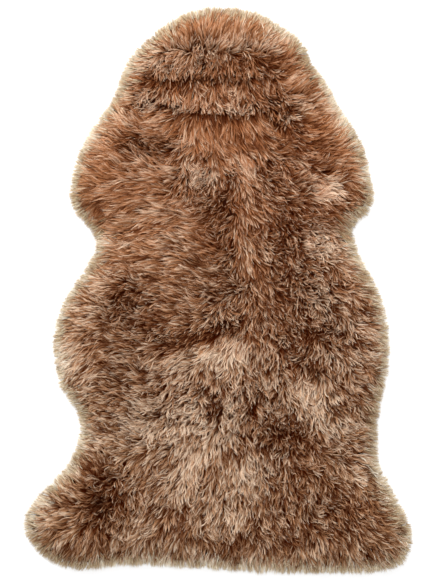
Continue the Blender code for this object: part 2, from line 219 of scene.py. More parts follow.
# Where the wool is paler or darker than its neighbourhood: partly the wool's own tone, and partly painted
# light.
# The dark patches in partings, creases, pockets, pits and under lips are painted shade, and many pale
# patches, on lips, brows and smooth combed wool, are painted highlight where the wool faces the light or its
# sheen catches it.
# Columns: place, across and along of the patch's middle, half its length and half its width in mm, its turn
# in degrees, and its shade, pale above 0.
PATCHES = (
    ("pocket by the neck", -108, 349, 20, 11, 10, -1.0),
    ("first neck parting", 18, 347, 56, 7, -2, -0.6),
    ("first neck parting, left", -62, 354, 40, 7, 6, -0.25),
    ("lip of the first roll", -60, 366, 54, 9, 4, 0.5),
    ("nape right, dark", 91, 373, 18, 15, 0, -0.8),
    ("nape whorl", -24, 407, 10, 6, 0, -0.3),
    ("nape", -10, 425, 80, 30, 0, -0.05),
    ("crown of the nape", -10, 398, 80, 13, 0, 0.65),
    ("nape left, pale", -110, 370, 24, 12, 10, 0.5),
    ("nape right, pale", 84, 402, 26, 16, -20, 0.5),
    ("nape rim", -14, 456, 20, 12, 0, -0.35),
    ("curls on the nape right", 71, 395, 18, 9, -15, 0.5),
    ("neck right, fore", 130, 364, 16, 22, 0, -0.35),
    ("neck edge right, fore", 166, 352, 14, 12, 0, 0.5),
    ("neck right", 148, 322, 11, 13, 0, -0.4),
    ("nape edge right", 133, 372, 20, 12, -50, -0.35),
    ("neck right, pale", 126, 305, 18, 26, 0, 0.5),
    ("neck edge right, pale", 174, 300, 16, 26, 35, 0.4),
    ("left of the second parting, pale", -92, 282, 34, 10, 12, 0.35),
    ("back, fore", 12, 258, 20, 20, 0, -0.4),
    ("rolls", 10, 325, 100, 40, 0, -0.12),
    ("shoulder right", 150, 195, 60, 60, 0, -0.22),
    ("fore back, right", 60, 225, 40, 50, 0, -0.1),
    ("loin and rump", -10, -210, 130, 110, 0, 0.06),
    ("ribs left", -120, 20, 80, 60, 0, 0.06),
    ("lobe right", 208, 155, 30, 40, 0, -0.25),
    ("shoulder fan, fore", 158, 194, 14, 9, 0, -0.4),
    ("curls of the second roll", -71, 311, 42, 13, -6, 0.45),
    ("curls of the second roll, right", 38, 326, 26, 12, 10, 0.2),
    ("lip of the second roll, pale", -50, 299, 20, 7, -6, 1.1),
    ("between the rolls", 22, 312, 26, 6, 0, -0.45),
    ("shoulder rim, left", -196, 262, 14, 22, 30, 0.5),
    ("fore shoulder left", -145, 265, 26, 14, 0, 0.3),
    ("curls at the left end of the rolls", -118, 305, 16, 12, -30, 0.5),
    ("second neck parting", -12, 287, 42, 7, 0, -0.8),
    ("second neck parting, right", 50, 286, 40, 6, 0, -0.6),
    ("white tips on the second lip", 26, 299, 34, 5, 0, 1.8),
    ("white tips at the left end of the lip", -120, 309, 12, 7, -30, 2.0),
    ("crease by the neck", 108, 290, 26, 10, 50, -0.3),
    ("pale curls by the crease", 124, 283, 20, 7, 50, 0.8),
    ("streak on the left shoulder", -121, 243, 46, 14, -14, -0.4),
    ("shoulder right, fore", 124, 251, 14, 20, 10, -0.6),
    ("shoulder right, outer", 168, 235, 18, 12, -20, -0.6),
    ("fore back", 46, 205, 22, 22, 0, 0.55),
    ("pale curls on the back", -26, 192, 20, 15, -20, 2.2),
    ("pale streak to the left", -104, 206, 40, 10, -8, 0.35),
    ("shoulder fan", 180, 170, 22, 16, -20, 1.8),
    ("left lobe", -190, 131, 22, 16, -20, -0.65),
    ("ribs left, fore", -89, 131, 22, 10, 0, 0.4),
    ("shoulder left, inner", -78, 198, 16, 10, 0, 0.35),
    ("spine, fore", 17, 145, 14, 20, 0, -1.0),
    ("right of the spine, fore", 82, 135, 10, 22, 0, -0.4),
    ("shoulder fan, inner", 134, 183, 16, 13, 0, 0.5),
    ("spine, middle", 1, 79, 22, 38, 0, -0.7),
    ("back right of the spine", 113, 109, 28, 56, -6, -0.9),
    ("shoulder lobe, low", 175, 128, 30, 14, 0, -0.4),
    ("curls on the ribs right", 164, 78, 28, 17, -30, 1.6),
    ("waist right, dark", 205, 95, 14, 16, 0, -0.5),
    ("combed ribs left", -90, 102, 44, 9, 0, -0.25),
    ("combed ribs left, low", -140, 42, 50, 14, -8, -0.2),
    ("waist left", -150, 95, 40, 22, 0, -0.2),
    ("ribs right, inner", 113, -16, 34, 46, 0, -0.75),
    ("curls on the ribs right, low", 163, -8, 28, 24, -30, 0.75),
    ("curls on the ribs left", -140, -12, 24, 30, 0, -0.65),
    ("left of the spine, dark", -51, -14, 24, 13, 0, -0.3),
    ("spine, low, dark", 68, 22, 30, 18, -30, -0.45),
    ("pale tips by the spine", 4, -42, 18, 9, 0, 0.4),
    ("ribs left, low", -113, -49, 56, 14, 0, -0.5),
    ("right flank curls", 230, -60, 26, 11, 0, 0.6),
    ("slanting parting", -38, -78, 42, 10, 14, -1.0),
    ("above the brow", 12, -66, 22, 9, 10, -0.7),
    ("loin right, fore", 174, -61, 22, 12, 0, -1.1),
    ("ribs right, between", 181, 18, 12, 12, 0, -0.5),
    ("loin right, fore, inner", 133, -83, 13, 24, 0, -0.8),
    ("loin right, crease", 134, -124, 28, 13, -22, -1.2),
    ("whorl", 180, -108, 18, 12, -20, 0.5),
    ("whorl, right", 222, -105, 18, 10, 20, 0.45),
    ("brow of the loin", 12, -105, 42, 17, 15, 1.6),
    ("left of the brow", -50, -116, 32, 12, 25, 0.8),
    ("under the slanting parting", -64, -99, 18, 8, 14, -0.4),
    ("under the brow", -22, -128, 10, 10, 0, -0.4),
    ("brow, low", 16, -130, 14, 13, 0, 0.4),
    ("flank left, pale", -240, -111, 18, 28, -25, 1.1),
    ("flank left, inner", -193, -99, 26, 34, -20, -0.45),
    ("right of the brow, dark", 84, -82, 36, 24, 0, -0.45),
    ("middle of the loin", 84, -160, 24, 16, 0, 0.1),
    ("loin right, fore, pale", 103, -101, 12, 10, 0, 0.5),
    ("loin, pale", 19, -183, 14, 10, 0, 0.4),
    ("behind the pit", -9, -217, 9, 8, 0, 0.5),
    ("spine, lowest", 56, -68, 18, 12, 0, -0.4),
    ("flank right, dark", 198, -157, 14, 20, 0, -1.0),
    ("flank right edge", 254, -145, 14, 34, 0, -0.45),
    ("loin right, pale", 156, -172, 30, 26, 20, 1.3),
    ("flank right, inner", 246, -194, 13, 38, 8, -0.8),
    ("pit on the loin", -4, -192, 9, 20, -16, -2.2),
    ("curls left of the pit", -44, -203, 36, 24, 0, 1.2),
    ("loin left, pale", -112, -206, 34, 30, 0, 0.7),
    ("loin left, dark", -86, -208, 16, 11, 30, -0.7),
    ("groin left, fore", -182, -205, 22, 13, 20, -0.6),
    ("flank left, fore", -190, -32, 20, 26, 0, 0.3),
    ("curls on the loin left", -92, -236, 48, 12, -8, 1.2),
    ("right of the pit, pale", 26, -205, 11, 28, 0, 0.9),
    ("right of the pit", 56, -225, 8, 24, -20, -0.6),
    ("groin left", -205, -262, 18, 14, 0, 0.6),
    ("groin left, inner", -154, -264, 22, 16, 0, 0.3),
    ("rump right", 118, -241, 34, 34, 0, -1.0),
    ("groin right, pale", 200, -228, 30, 12, -20, 1.0),
    ("groin right, dark", 213, -266, 15, 20, 0, -0.6),
    ("rump, pale lock", -36, -272, 18, 38, -32, 1.0),
    ("rump, fore", 30, -257, 18, 10, 0, -0.6),
    ("loin, hind", -43, -238, 16, 9, 0, -0.5),
    ("loin far left", -148, -181, 15, 10, 0, -0.5),
    ("thigh right, fore", 138, -286, 36, 10, 0, -0.45),
    ("rump left", -54, -325, 22, 20, 0, 0.7),
    ("rump", 44, -298, 26, 30, 0, 0.9),
    ("rump, low", 8, -372, 26, 30, 0, 0.7),
    ("rump, low left", -58, -364, 18, 18, 0, -0.7),
    ("rump, low right", 82, -354, 16, 22, 0, -0.4),
    ("rump, low, pale", 43, -359, 11, 12, 0, 0.5),
    ("rump right, low", 118, -325, 18, 15, 0, -0.55),
    ("thigh left, dark", -157, -323, 18, 16, 0, -0.85),
    ("thigh left, pale", -121, -404, 28, 28, 0, 0.25),
    ("thigh left", -79, -383, 18, 18, 0, -0.3),
    ("foot left, fore", -213, -292, 28, 22, 0, -0.7),
    ("heart of the left foot", -184, -338, 24, 36, -10, -0.9),
    ("foot left, low", -196, -397, 24, 24, 0, -0.4),
    ("foot left, edge", -282, -370, 24, 34, 30, 0.45),
    ("foot left, hind edge", -248, -436, 50, 12, 0, -0.8),
    ("thigh right, pale", 222, -306, 26, 12, -20, 0.6),
    ("thigh right", 205, -353, 40, 38, 0, -0.7),
    ("tail edge right", 122, -398, 26, 20, 0, -0.75),
    ("tail edge right, pale", 156, -422, 13, 13, 0, 0.9),
    ("foot right, inner", 186, -394, 13, 26, 0, -1.0),
    ("tail edge", 14, -415, 28, 13, 0, -1.0),
    ("tail edge, pale", -50, -420, 17, 12, 0, 0.7),
    ("tail rim", -20, -462, 190, 10, 0, -0.6),
    ("foot rim, right", 306, -436, 24, 16, 40, -0.7),
    ("foot rim, left", -276, -424, 26, 12, -35, -0.4),
    ("flank rim, left", -263, -115, 12, 34, 0, -0.5),
    ("flank rim, left fore", -258, -46, 12, 24, 0, 0.4),
    ("flank rim, right fore", 231, 0, 14, 14, 0, -0.4),
    ("neck rim, left", -112, 405, 26, 12, 45, -0.4),
    ("lobe rim, right", 250, 168, 10, 22, 0, -0.5),
    ("foot right, edge", 262, -385, 46, 50, 0, -0.12),
    ("tail", 40, -412, 120, 24, 0, -0.2),
)

# Where neighbouring locks and wisps differ more in tone than elsewhere, or less, below 0. Columns: as in the
# table of patches, with how much more in place of the shade.
LIVELINESS = (
    ("nape", 0, 412, 120, 46, 0, -0.25),
    ("pale curls on the back", -26, 192, 24, 18, -20, 0.5),
    ("shoulder right", 120, 165, 90, 70, 0, 0.22),
    ("shoulder fan", 180, 172, 24, 18, -20, 0.3),
    ("ribs right", 145, 35, 80, 80, 0, 0.28),
    ("loin right", 180, -110, 80, 80, 0, 0.28),
    ("loin", -20, -175, 90, 60, 0, 0.2),
    ("foot left", -245, -370, 60, 60, 0, -0.4),
    ("foot right", 265, -380, 50, 60, 0, -0.2),
)

# Where the tips stand up in short curls. Columns: place, across and along of the middle, half the length and
# half the width in mm, turn in degrees, and how curly it is, up to 1.
CURLS = (
    ("nape whorl", -24, 405, 14, 10, 0, 0.5),
    ("nape left", -88, 378, 24, 12, -20, 0.7),
    ("nape right", 74, 398, 24, 14, -15, 0.6),
    ("lip of the first roll", -40, 366, 60, 8, 4, 0.7),
    ("left end of the rolls", -122, 318, 16, 16, 0, 0.9),
    ("lip of the second roll", -66, 302, 46, 9, -8, 0.9),
    ("lip of the second roll, right", 28, 300, 34, 9, 6, 0.9),
    ("crease by the neck", 118, 292, 26, 14, 50, 0.8),
    ("streak on the left shoulder", -121, 246, 44, 9, -14, 0.4),
    ("pale curls on the back", -30, 194, 26, 20, -20, 0.5),
    ("curl by the spine", 22, 188, 12, 14, 0, 0.7),
    ("spine, fore", 14, 142, 12, 34, 0, 0.7),
    ("shoulder right, inner", 92, 205, 26, 14, 20, 0.5),
    ("shoulder fan", 150, 172, 16, 20, 0, 0.4),
    ("back right of the spine", 105, 105, 26, 44, -10, 0.7),
    ("curls on the ribs right", 165, 84, 26, 16, -30, 0.5),
    ("ribs right", 130, 20, 44, 30, 0, 0.5),
    ("curls on the ribs right, low", 166, -8, 28, 22, -30, 0.7),
    ("curls on the ribs left", -146, -18, 34, 30, 0, 0.8),
    ("tips over the slanting parting", 20, -48, 40, 12, 10, 0.8),
    ("whorl", 180, -62, 30, 16, 0, 0.8),
    ("crease right of the loin", 140, -112, 26, 16, -20, 0.7),
    ("pit on the loin", -4, -190, 12, 16, 0, 0.4),
    ("curls on the loin", -56, -208, 48, 22, 0, 0.3),
    ("curls on the loin left", -104, -236, 36, 14, -8, 0.4),
    ("loin middle", 66, -168, 40, 30, 0, 0.4),
    ("rump right", 110, -232, 40, 30, 0, 0.6),
    ("groin right", 205, -262, 26, 24, 0, 0.5),
    ("heart of the left foot", -188, -345, 22, 40, -10, 0.9),
    ("thigh right", 180, -350, 60, 34, 0, 0.5),
    ("tail edge", 60, -400, 120, 14, 0, 0.4),
    ("loin and rump", 20, -190, 170, 90, 0, 0.35),
    ("ribs right", 150, 50, 60, 90, 0, 0.3),
    ("tail", 20, -340, 190, 50, 0, 0.25),
    ("back", 60, 170, 60, 50, 0, 0.25),
)

# Where a roll of wool hangs over the wool behind it, and ends in a lip. Columns: place, how far the wool
# sinks under the lip in mm, and points of the lip, each across and along in mm.
CREASES = (
    ("first neck parting, left", 16, ((-118, 354), (-104, 350), (-80, 344), (-46, 346), (-14, 352))),
    ("first neck parting, right", 8, ((-20, 343), (12, 349), (42, 344), (74, 350))),
    ("second neck parting", 20, (
        (-132, 303), (-112, 311), (-88, 305), (-62, 300), (-48, 292), (-22, 294),
        (2, 290), (24, 296), (52, 292), (74, 300), (92, 286), (98, 270))),
    ("crease by the neck", 10, ((74, 318), (113, 288), (138, 268))),
    ("streak on the left shoulder", 5, ((-166, 255), (-113, 240), (-71, 235))),
    ("slanting parting", 15, ((-113, -86), (-46, -91), (-4, -74), (24, -53))),
    ("loin right", 11, ((121, -58), (160, -64), (213, -58))),
    ("loin right, low", 11, ((108, -72), (126, -112), (156, -130))),
    ("pit on the loin", 18, ((-12, -172), (-7, -190), (2, -204))),
    ("rump right", 8, ((80, -225), (118, -222), (150, -235))),
    ("lobe right", 7, ((205, 135), (238, 126))),
)

# The stretches that the fleece is made in. Columns: piece, how far along its hind end is in mm, the number
# of strands in a lock, and the number of bends in a strand.
STRETCHES = (
    ("fleece_neck", 255, 44, 2),
    ("fleece_shoulders", 110, 40, 2),
    ("fleece_back", -20, 36, 3),
    ("fleece_flanks", -130, 36, 3),
    ("fleece_loin", -235, 36, 3),
    ("fleece_rump", -340, 36, 3),
    ("fleece_tail", -500, 32, 3),
)

GRID_STEP = 3 * MM
GRID_MARGIN = 15 * MM
RAY_HEIGHT = 0.2
MASK_BLUR = 3  # grid cells, so wide that gaps between the model's rim locks don't notch the wool's reach
FORM_BLUR = 1  # grid cells
SLOPE_BLUR = 4  # grid cells
RIM_FILL = 0.42  # share of model round a cell above which the cell counts as within the rim
LEAST_COVER = 0.15  # share of model round a cell below which its height isn't raised any further
RING_STEPS = 24  # halvings that find a ring's distance from the middle
TINY = 1e-6  # least length that a way is divided by

FLOOR_HALF_WIDTH = 6.0
FLOOR_COLOUR = "F8F8F8"
FLOOR_GAP = 0.5 * MM  # under the hide, so that the two don't touch
LENS_MM = 85
WORLD_STRENGTH = 0.32

# Columns: light, its place, its size in metres and its power in watts. Each points to the rug's middle.
LIGHTS = (
    ("overhead", (0.0, 0.4, 3.2), 1.8, 93.0),
    ("key", (-0.9, 2.6, 1.8), 0.9, 76.0),
)

HIDE_CORNERS = 300
HIDE_NET = 16 * MM
HIDE_NET_SHAKE = 0.15
HIDE_NET_INSET = 9 * MM  # from the hide's edge to the net inside it
UNDERWOOL_CORNERS = 360
UNDERWOOL_NET = 10 * MM
UNDERWOOL_NET_SHAKE = 0.2
UNDERWOOL_NET_INSET = 6 * MM
UNDERWOOL_GAP = 0.2 * MM  # over the hide
UNDERWOOL_EDGE = 0.4 * MM  # thickness of the underwool at its edge
UNDERWOOL_LEAST = 1 * MM  # least height of the underwool, before its edge is rounded
UNDERWOOL_SLOPE = 20 * MM  # width of the rounded edge of the underwool
UNDERWOOL_ROUNDING = 0.6  # power that rounds it
NET_TOLERANCE = 1e-7  # metres between corners that count as one
SHARP_DEGREES = 60  # between faces that meet in a sharp edge
ANYWHERE = 1.0  # farther from the rim than any place on the rug

GUIDE_REACH = 30 * MM  # of a row of the comb table
GUIDE_FALL = 4  # how steeply a guide's weight falls past its reach
GUIDE_SHARPNESS = 1.25  # power that makes the nearest guides count for more
AGREEMENT = (0.3, 0.8)  # of the guides round a place, from where the wool stands to where it lies
RIM_TURN_REACH = 42 * MM  # within this of the rim the wool turns to point off it
RIM_TURN_SHARPNESS = 1.3  # power that keeps that turn close to the rim
CREASE_WIDTH = 13 * MM  # of the sunken wool behind a lip
LIP_ROOM = 2 * MM  # how far the wool runs past a lip
LIP_SWELL = 0.25  # how much the wool rises before a lip, as a share of the depth behind it
MOST_ROOM = 1.0  # where no lip is near

FLEECE_START = 0.7  # share of the rim band inside which the fleece begins
FLEECE_SHAKE = 0.32  # of a lock off its row, as a share of the distance between locks
RIM_START = 5 * MM
RIM_SHAKE = 0.35
RIM_COUNT = 12  # strands in a lock of the rim wool
RIM_BENDS = 2
WISP = 4  # strands that lie together as one fine pointed wisp
RIM_WISP = 3  # strands in a wisp of the rim wool

FORE = (-120 * MM, 180 * MM)  # along the rug, from where the wool is shaggy to where it is smooth
HIND = (100 * MM, -100 * MM)  # along the rug, to where the wool is a little shorter and more crimped
RIM_NEARNESS = 22 * MM  # over which the wool stops being like that of the rim
MOST_RISE = 4.5 * MM  # by which a lock stands over the rug's form
ROOT_SHARE = 0.42  # of a strand's reach, taken to be behind its lock's place where a lip cuts it short
LEAST_REACH = 12 * MM
MOST_GATHER = 0.8
WISP_GATHER = 0.45  # how far the strands of a wisp draw together at its tip
ROOT_FROM_RIM = 3 * MM  # least distance of a root from the rim
RIM_OVERHANG = 4 * MM  # how far the longest strands of the rim wool would run past the rim
LEAST_RIM_RUN = 6 * MM
TUFT_OFF_RIM = (-2.5 * MM, 1.5 * MM)  # least and most that a tuft's length moves its tips off the rim
KNEE_BOW = 0.8  # how far a strand's knee is set back against the bow of its tip, as a share of that bow
LOWEST_ROOT = 2.5 * MM
LOWEST_TIP = 1.2 * MM
LOCK_CROWN = 2.2 * MM  # how much lower a lock is one standard deviation aside of its middle
MOST_CROWN = 3.0  # times as much, at most
RIM_FALL = 12 * MM  # width over which the rim wool comes down to the floor
LEAST_KNEE_RISE = 1 * MM

WOOL_KINDS = 5  # bands of strand colour: caramel to beige in four steps, then golden
BEIGE_KIND = 3  # the last band before golden
GOLDEN_KIND = 4
DARK_DEPTH = 0.75  # how far a dark patch of full shade takes the wool towards its darkest tone
PALE_DEPTH = 1.05  # how far a pale patch of full shade takes the wool towards its palest tone
BEIGE_STRETCH = (200 * MM, -200 * MM)  # along the rug, from caramel wool to beige wool
BEIGE_OF_STRETCH = 0.8  # how beige that makes it
BEIGE_OF_PATCHES = 0.3  # how beige a pale patch of full shade makes it
# The beige and golden wool near the rim is partly the fringe's own paler colour and partly painted light,
# where the thin fringe lets the bright floor's light through.
BEIGE_OF_RIM = 0.4  # how beige it turns at the rim
BEIGE_REACH = 40 * MM  # over which it turns so
GOLDEN_IN_FLEECE = (30 * MM, 6 * MM)  # from the rim: where golden strands begin, and where all are golden
GOLDEN_IN_RIM = (38.4 * MM, 14.4 * MM)
GOLDEN_ROOT_SHADE_LIFT = 0.65  # of golden strands, where 1 is as pale at the root as at the tip
MOST_ROOT_SHADE_LIFT = 0.75
TONE_MIDDLE = 0.443  # of wool without shade, where 0 is the darkest tone and 1 the palest
TONE_REACH = 0.41  # how far from the middle the shade can take the tone
TONE_SOFTNESS = 0.40  # the shade that takes the tone three quarters of that way
TONE_OF_EDGES = 0.08  # wool near the rim paler, partly painted light; wool at a lock's sides darker, painted shade
MOST_OFF_MIDDLE = 2.0  # standard deviations from a lock's middle
PALEST_START = 0.6  # shade from which the palest patches are lifted further
PALEST_LIFT = 0.12
TONE_ENDS = (0.02, 0.98)
BAND_MARGIN = 0.05  # kept free at both ends of a band of the wool's map

BLADE_CUT = -0.05  # the sides of a three-sided spike that lie past this are cut away, so that one is left
BLADE_WIDTH = math.sqrt(3)  # of that side at its foot
BLADE_FULLNESS = 1.8  # how much wider than a plain spike a strand is towards its tip
SWAY_RISE = 0.7  # power by which a strand's crimp grows from its root to its tip
MAP_TIP = 0.97  # place of a strand's tip on the wool's map
MAP_RUN = 0.93  # length on the map of a strand whose painted root shade isn't lifted
MAP_WIDTH = 0.004  # of a spike's radius, across the map
ROOT_FADE = (0.36, 0.97)  # on the map, from the colour of roots, partly painted shade, to that of the strand
TIP_FADE = (0.72, 1.0)  # on the map, from the strand's colour to its bleached tip
TIP_BRIGHTNESS = 1.25  # of a bleached tip, times the strand's own
WARM_ROOT = (1.0, 0.76, 0.52, 1.0)  # the light that reaches the roots has gone through wool and turned warm
WHITE = (1.0, 1.0, 1.0, 1.0)

SEEDS = {"hide net": 1, "underwool net": 2, "fleece locks": 11, "fleece": 20, "rim locks": 31, "rim": 32}

# Smooth noise by which the wool changes from place to place. Columns: the size of its clouds in mm, its
# layer in the noise, and its strength, in metres, radians or shares.
CLOUDS = {
    "comb, across": (26, 31.0, 10 * MM),
    "comb, along": (26, 33.0, 10 * MM),
    "lip, across": (20, 35.0, 5 * MM),
    "lip, along": (20, 37.0, 5 * MM),
    "wide swirl": (60, 7.0, 0.15),
    "swirl": (30, 3.0, 0.45),
    "small swirl": (14, 5.0, 0.30),
    "height": (15, 9.0, 3.2 * MM),
    "wide tone": (45, 15.0, 0.18),
    "tone": (24, 12.0, 1),
    "small tone": (12, 14.0, 1),
    "wave": (24, 17.0, 3.0),
    "bow": (20, 19.0, 0.14),
    "rim tufts": (14, 23.0, 2.0 * MM),
    "underwool lumps": (12, 21.0, 2.2 * MM),
}

# How much single locks, wisps and strands differ: the standard deviation, in metres, radians or shares.
SPREADS = {
    "lock turn": 0.11,
    "lock height": 2.4 * MM,
    "lock tone": 0.22,
    "lock gather": 0.12,
    "lock bow": 0.06,
    "wisp place": 0.45,  # as a share of the distance between locks
    "strand place": 0.50 * MM,
    "wisp turn": 1,
    "strand turn": 0.03,
    "wisp height": 1.0 * MM,
    "strand height": 0.3 * MM,
    "rim tuft length": 1.5 * MM,
    "rim wisp length": 1.2 * MM,
    "rim strand length": 3.0 * MM,
    "strand kind": 0.15,
    "wisp tone": 0.33,
    "strand tone": 0.18,
    "wisp wave": 0.35,
    "strand roll": 0.45,
}

# The least and the most of what is drawn evenly between two ends, in metres or shares.
RANGES = {
    "lock reach": (0.85, 1.15),
    "wisp reach": (0.75, 1.15),
    "strand reach": (0.92, 1.05),
    "root behind its lock": (0.15, 0.60),
    "fleece tip inside the rim": (2 * MM, 13 * MM),
    "rim tip inside the rim": (-4.2 * MM, -0.6 * MM),
    "rim tip height": (0.8 * MM, 5.5 * MM),
    "rim knee height": (-5 * MM, 1.0 * MM),
    "chance": (0, 1),
    "strand width": (0.65, 1.3),
}

# How the habits of the wool follow from a lock's traits: what a habit always is, and what each trait adds.
# The traits run from 0 to 1: how much curl a lock has, how flat it lies or how much it stands, how far hind
# it is, how shaggy it is, or how sleek where smooth wool lies flat, how near the rim it is and how pale.
HABITS = {
    "lie left by curls": {"always": 1, "curl": -0.8},
    "looseness": {"always": 0.4, "stand": 1.0, "curl": 0.6},
    "looseness of the rim": {"always": 0.3},
    "unevenness": {"always": 1, "shaggy": 0.4},
    "tone clouds": {"always": 0.10, "shaggy": 0.14},
    "small tone clouds": {"always": 0.16, "shaggy": 0.24},
    "lock tone": {"always": 1, "sleek": -0.6},
    "reach": {"always": 0.52, "lie": 0.52, "curl": -0.12},
    "reach along the rug": {"always": 1, "hind": -0.05},
    "gather": {"always": 0.20, "stand": 0.35},
    "bow": {"always": 1, "stand": 1, "curl": 0.8},
    "wisp turn": {"always": 0.08, "stand": 0.30},
    "root depth": {"always": 15 * MM, "stand": 6 * MM},
    "knee rise": {"always": -1.0 * MM, "stand": -4.5 * MM},
    "tip rise": {"always": -1.5 * MM, "stand": 3.0 * MM},
    "crimp": {"always": 0.4 * MM, "stand": 2.0 * MM, "hind": 0.7 * MM},
    "crimp of the rim": {"always": 0.3 * MM},
    "crimps": {"always": 7.0, "stand": 2.5},
    "strand tone": {"always": 1.15, "stand": 0.45, "sleek": -0.55},
    "strand tone by the rim": {"always": 1, "near_rim": -0.7},
    # lifts the painted shade at the roots of flat, sleek, rim and pale wool
    "bleach": {"lie": 0.15, "sleek": 0.25, "near_rim": 0.15, "pale": 0.45},
}


class SheepskinSizes(bpy.types.PropertyGroup):
    """Sizes of the hide and its wool."""
    hide_thickness: bpy.props.FloatProperty(
        name="Hide thickness", description="Thickness of the tanned skin", default=2 * MM, min=0.0005,
        unit="LENGTH")
    hide_inset: bpy.props.FloatProperty(
        name="Hide inset", description="How far the skin's edge is inside the wool's reach",
        default=15 * MM, unit="LENGTH")
    underwool_share: bpy.props.FloatProperty(
        name="Underwool height", description="Height of the dense underwool as a part of the pile",
        default=0.62, subtype="FACTOR")
    underwool_inset: bpy.props.FloatProperty(
        name="Underwool inset", description="How far the underwool ends inside the wool's reach",
        default=11 * MM, unit="LENGTH")
    lock_pitch: bpy.props.FloatProperty(
        name="Lock pitch", description="Distance between the locks of the fleece", default=9.2 * MM,
        unit="LENGTH")
    strand_width: bpy.props.FloatProperty(
        name="Strand width", description="Mean width of a strand of the fleece", default=0.76 * MM,
        unit="LENGTH")
    strand_reach: bpy.props.FloatProperty(
        name="Strand reach", description="How far a strand of the fleece runs along the rug",
        default=31 * MM, unit="LENGTH")
    rim_pitch: bpy.props.FloatProperty(
        name="Rim lock pitch", description="Distance between the locks of the rim wool", default=5.4 * MM,
        unit="LENGTH")
    rim_band: bpy.props.FloatProperty(
        name="Rim band", description="Width of the band that the rim wool grows on", default=26 * MM,
        unit="LENGTH")
    rim_strand_width: bpy.props.FloatProperty(
        name="Rim strand width", description="Mean width of a strand of the rim wool", default=0.55 * MM,
        unit="LENGTH")


class SheepskinColours(bpy.types.PropertyGroup):
    """Colours of the hide and of the wool from its roots to its tips, as sRGB hex values."""
    hide: bpy.props.StringProperty(
        name="Hide", description="Suede of the tanned flesh side", default="B9936B")
    # The root colour is partly the wool's dyed root and partly painted shade, for the depth between the
    # locks.
    root: bpy.props.StringProperty(
        name="Root", description="Deep wool between the locks", default="3E1502")
    depth: bpy.props.StringProperty(
        name="Depth", description="Underwool in the deepest shadow", default="1C0801")
    warm: bpy.props.StringProperty(
        name="Caramel", description="Caramel wool: dark, middle and pale", default="461503 BE8055 E7CAAF")
    beige: bpy.props.StringProperty(
        name="Beige", description="Beige wool: dark, middle and pale", default="461804 C3946C E9D4BD")
    # The golden rim colours are partly the fringe's own colour and partly painted light through the thin
    # fringe.
    golden: bpy.props.StringProperty(
        name="Golden", description="Golden wool of the rim: dark, middle and pale",
        default="9B805D D5C5A7 F1EADB")


def linear_colour(hex_text):
    """The linear RGBA of an sRGB hex value."""
    channels = [int(hex_text[i:i + 2], 16) / 255 for i in (0, 2, 4)]
    linear = [c / 12.92 if c <= 0.04045 else ((c + 0.055) / 1.055) ** 2.4 for c in channels]
    return (*linear, 1.0)


def add_node(tree, kind, settings=None, values=None):
    """A node with its settings, and its inputs set to values or linked to the sockets given for them."""
    node = tree.nodes.new(kind)
    for name, value in (settings or {}).items():
        setattr(node, name, value)
    for key, value in (values or {}).items():
        if isinstance(value, bpy.types.NodeSocket):
            tree.links.new(value, node.inputs[key])
        else:
            node.inputs[key].default_value = value
    return node

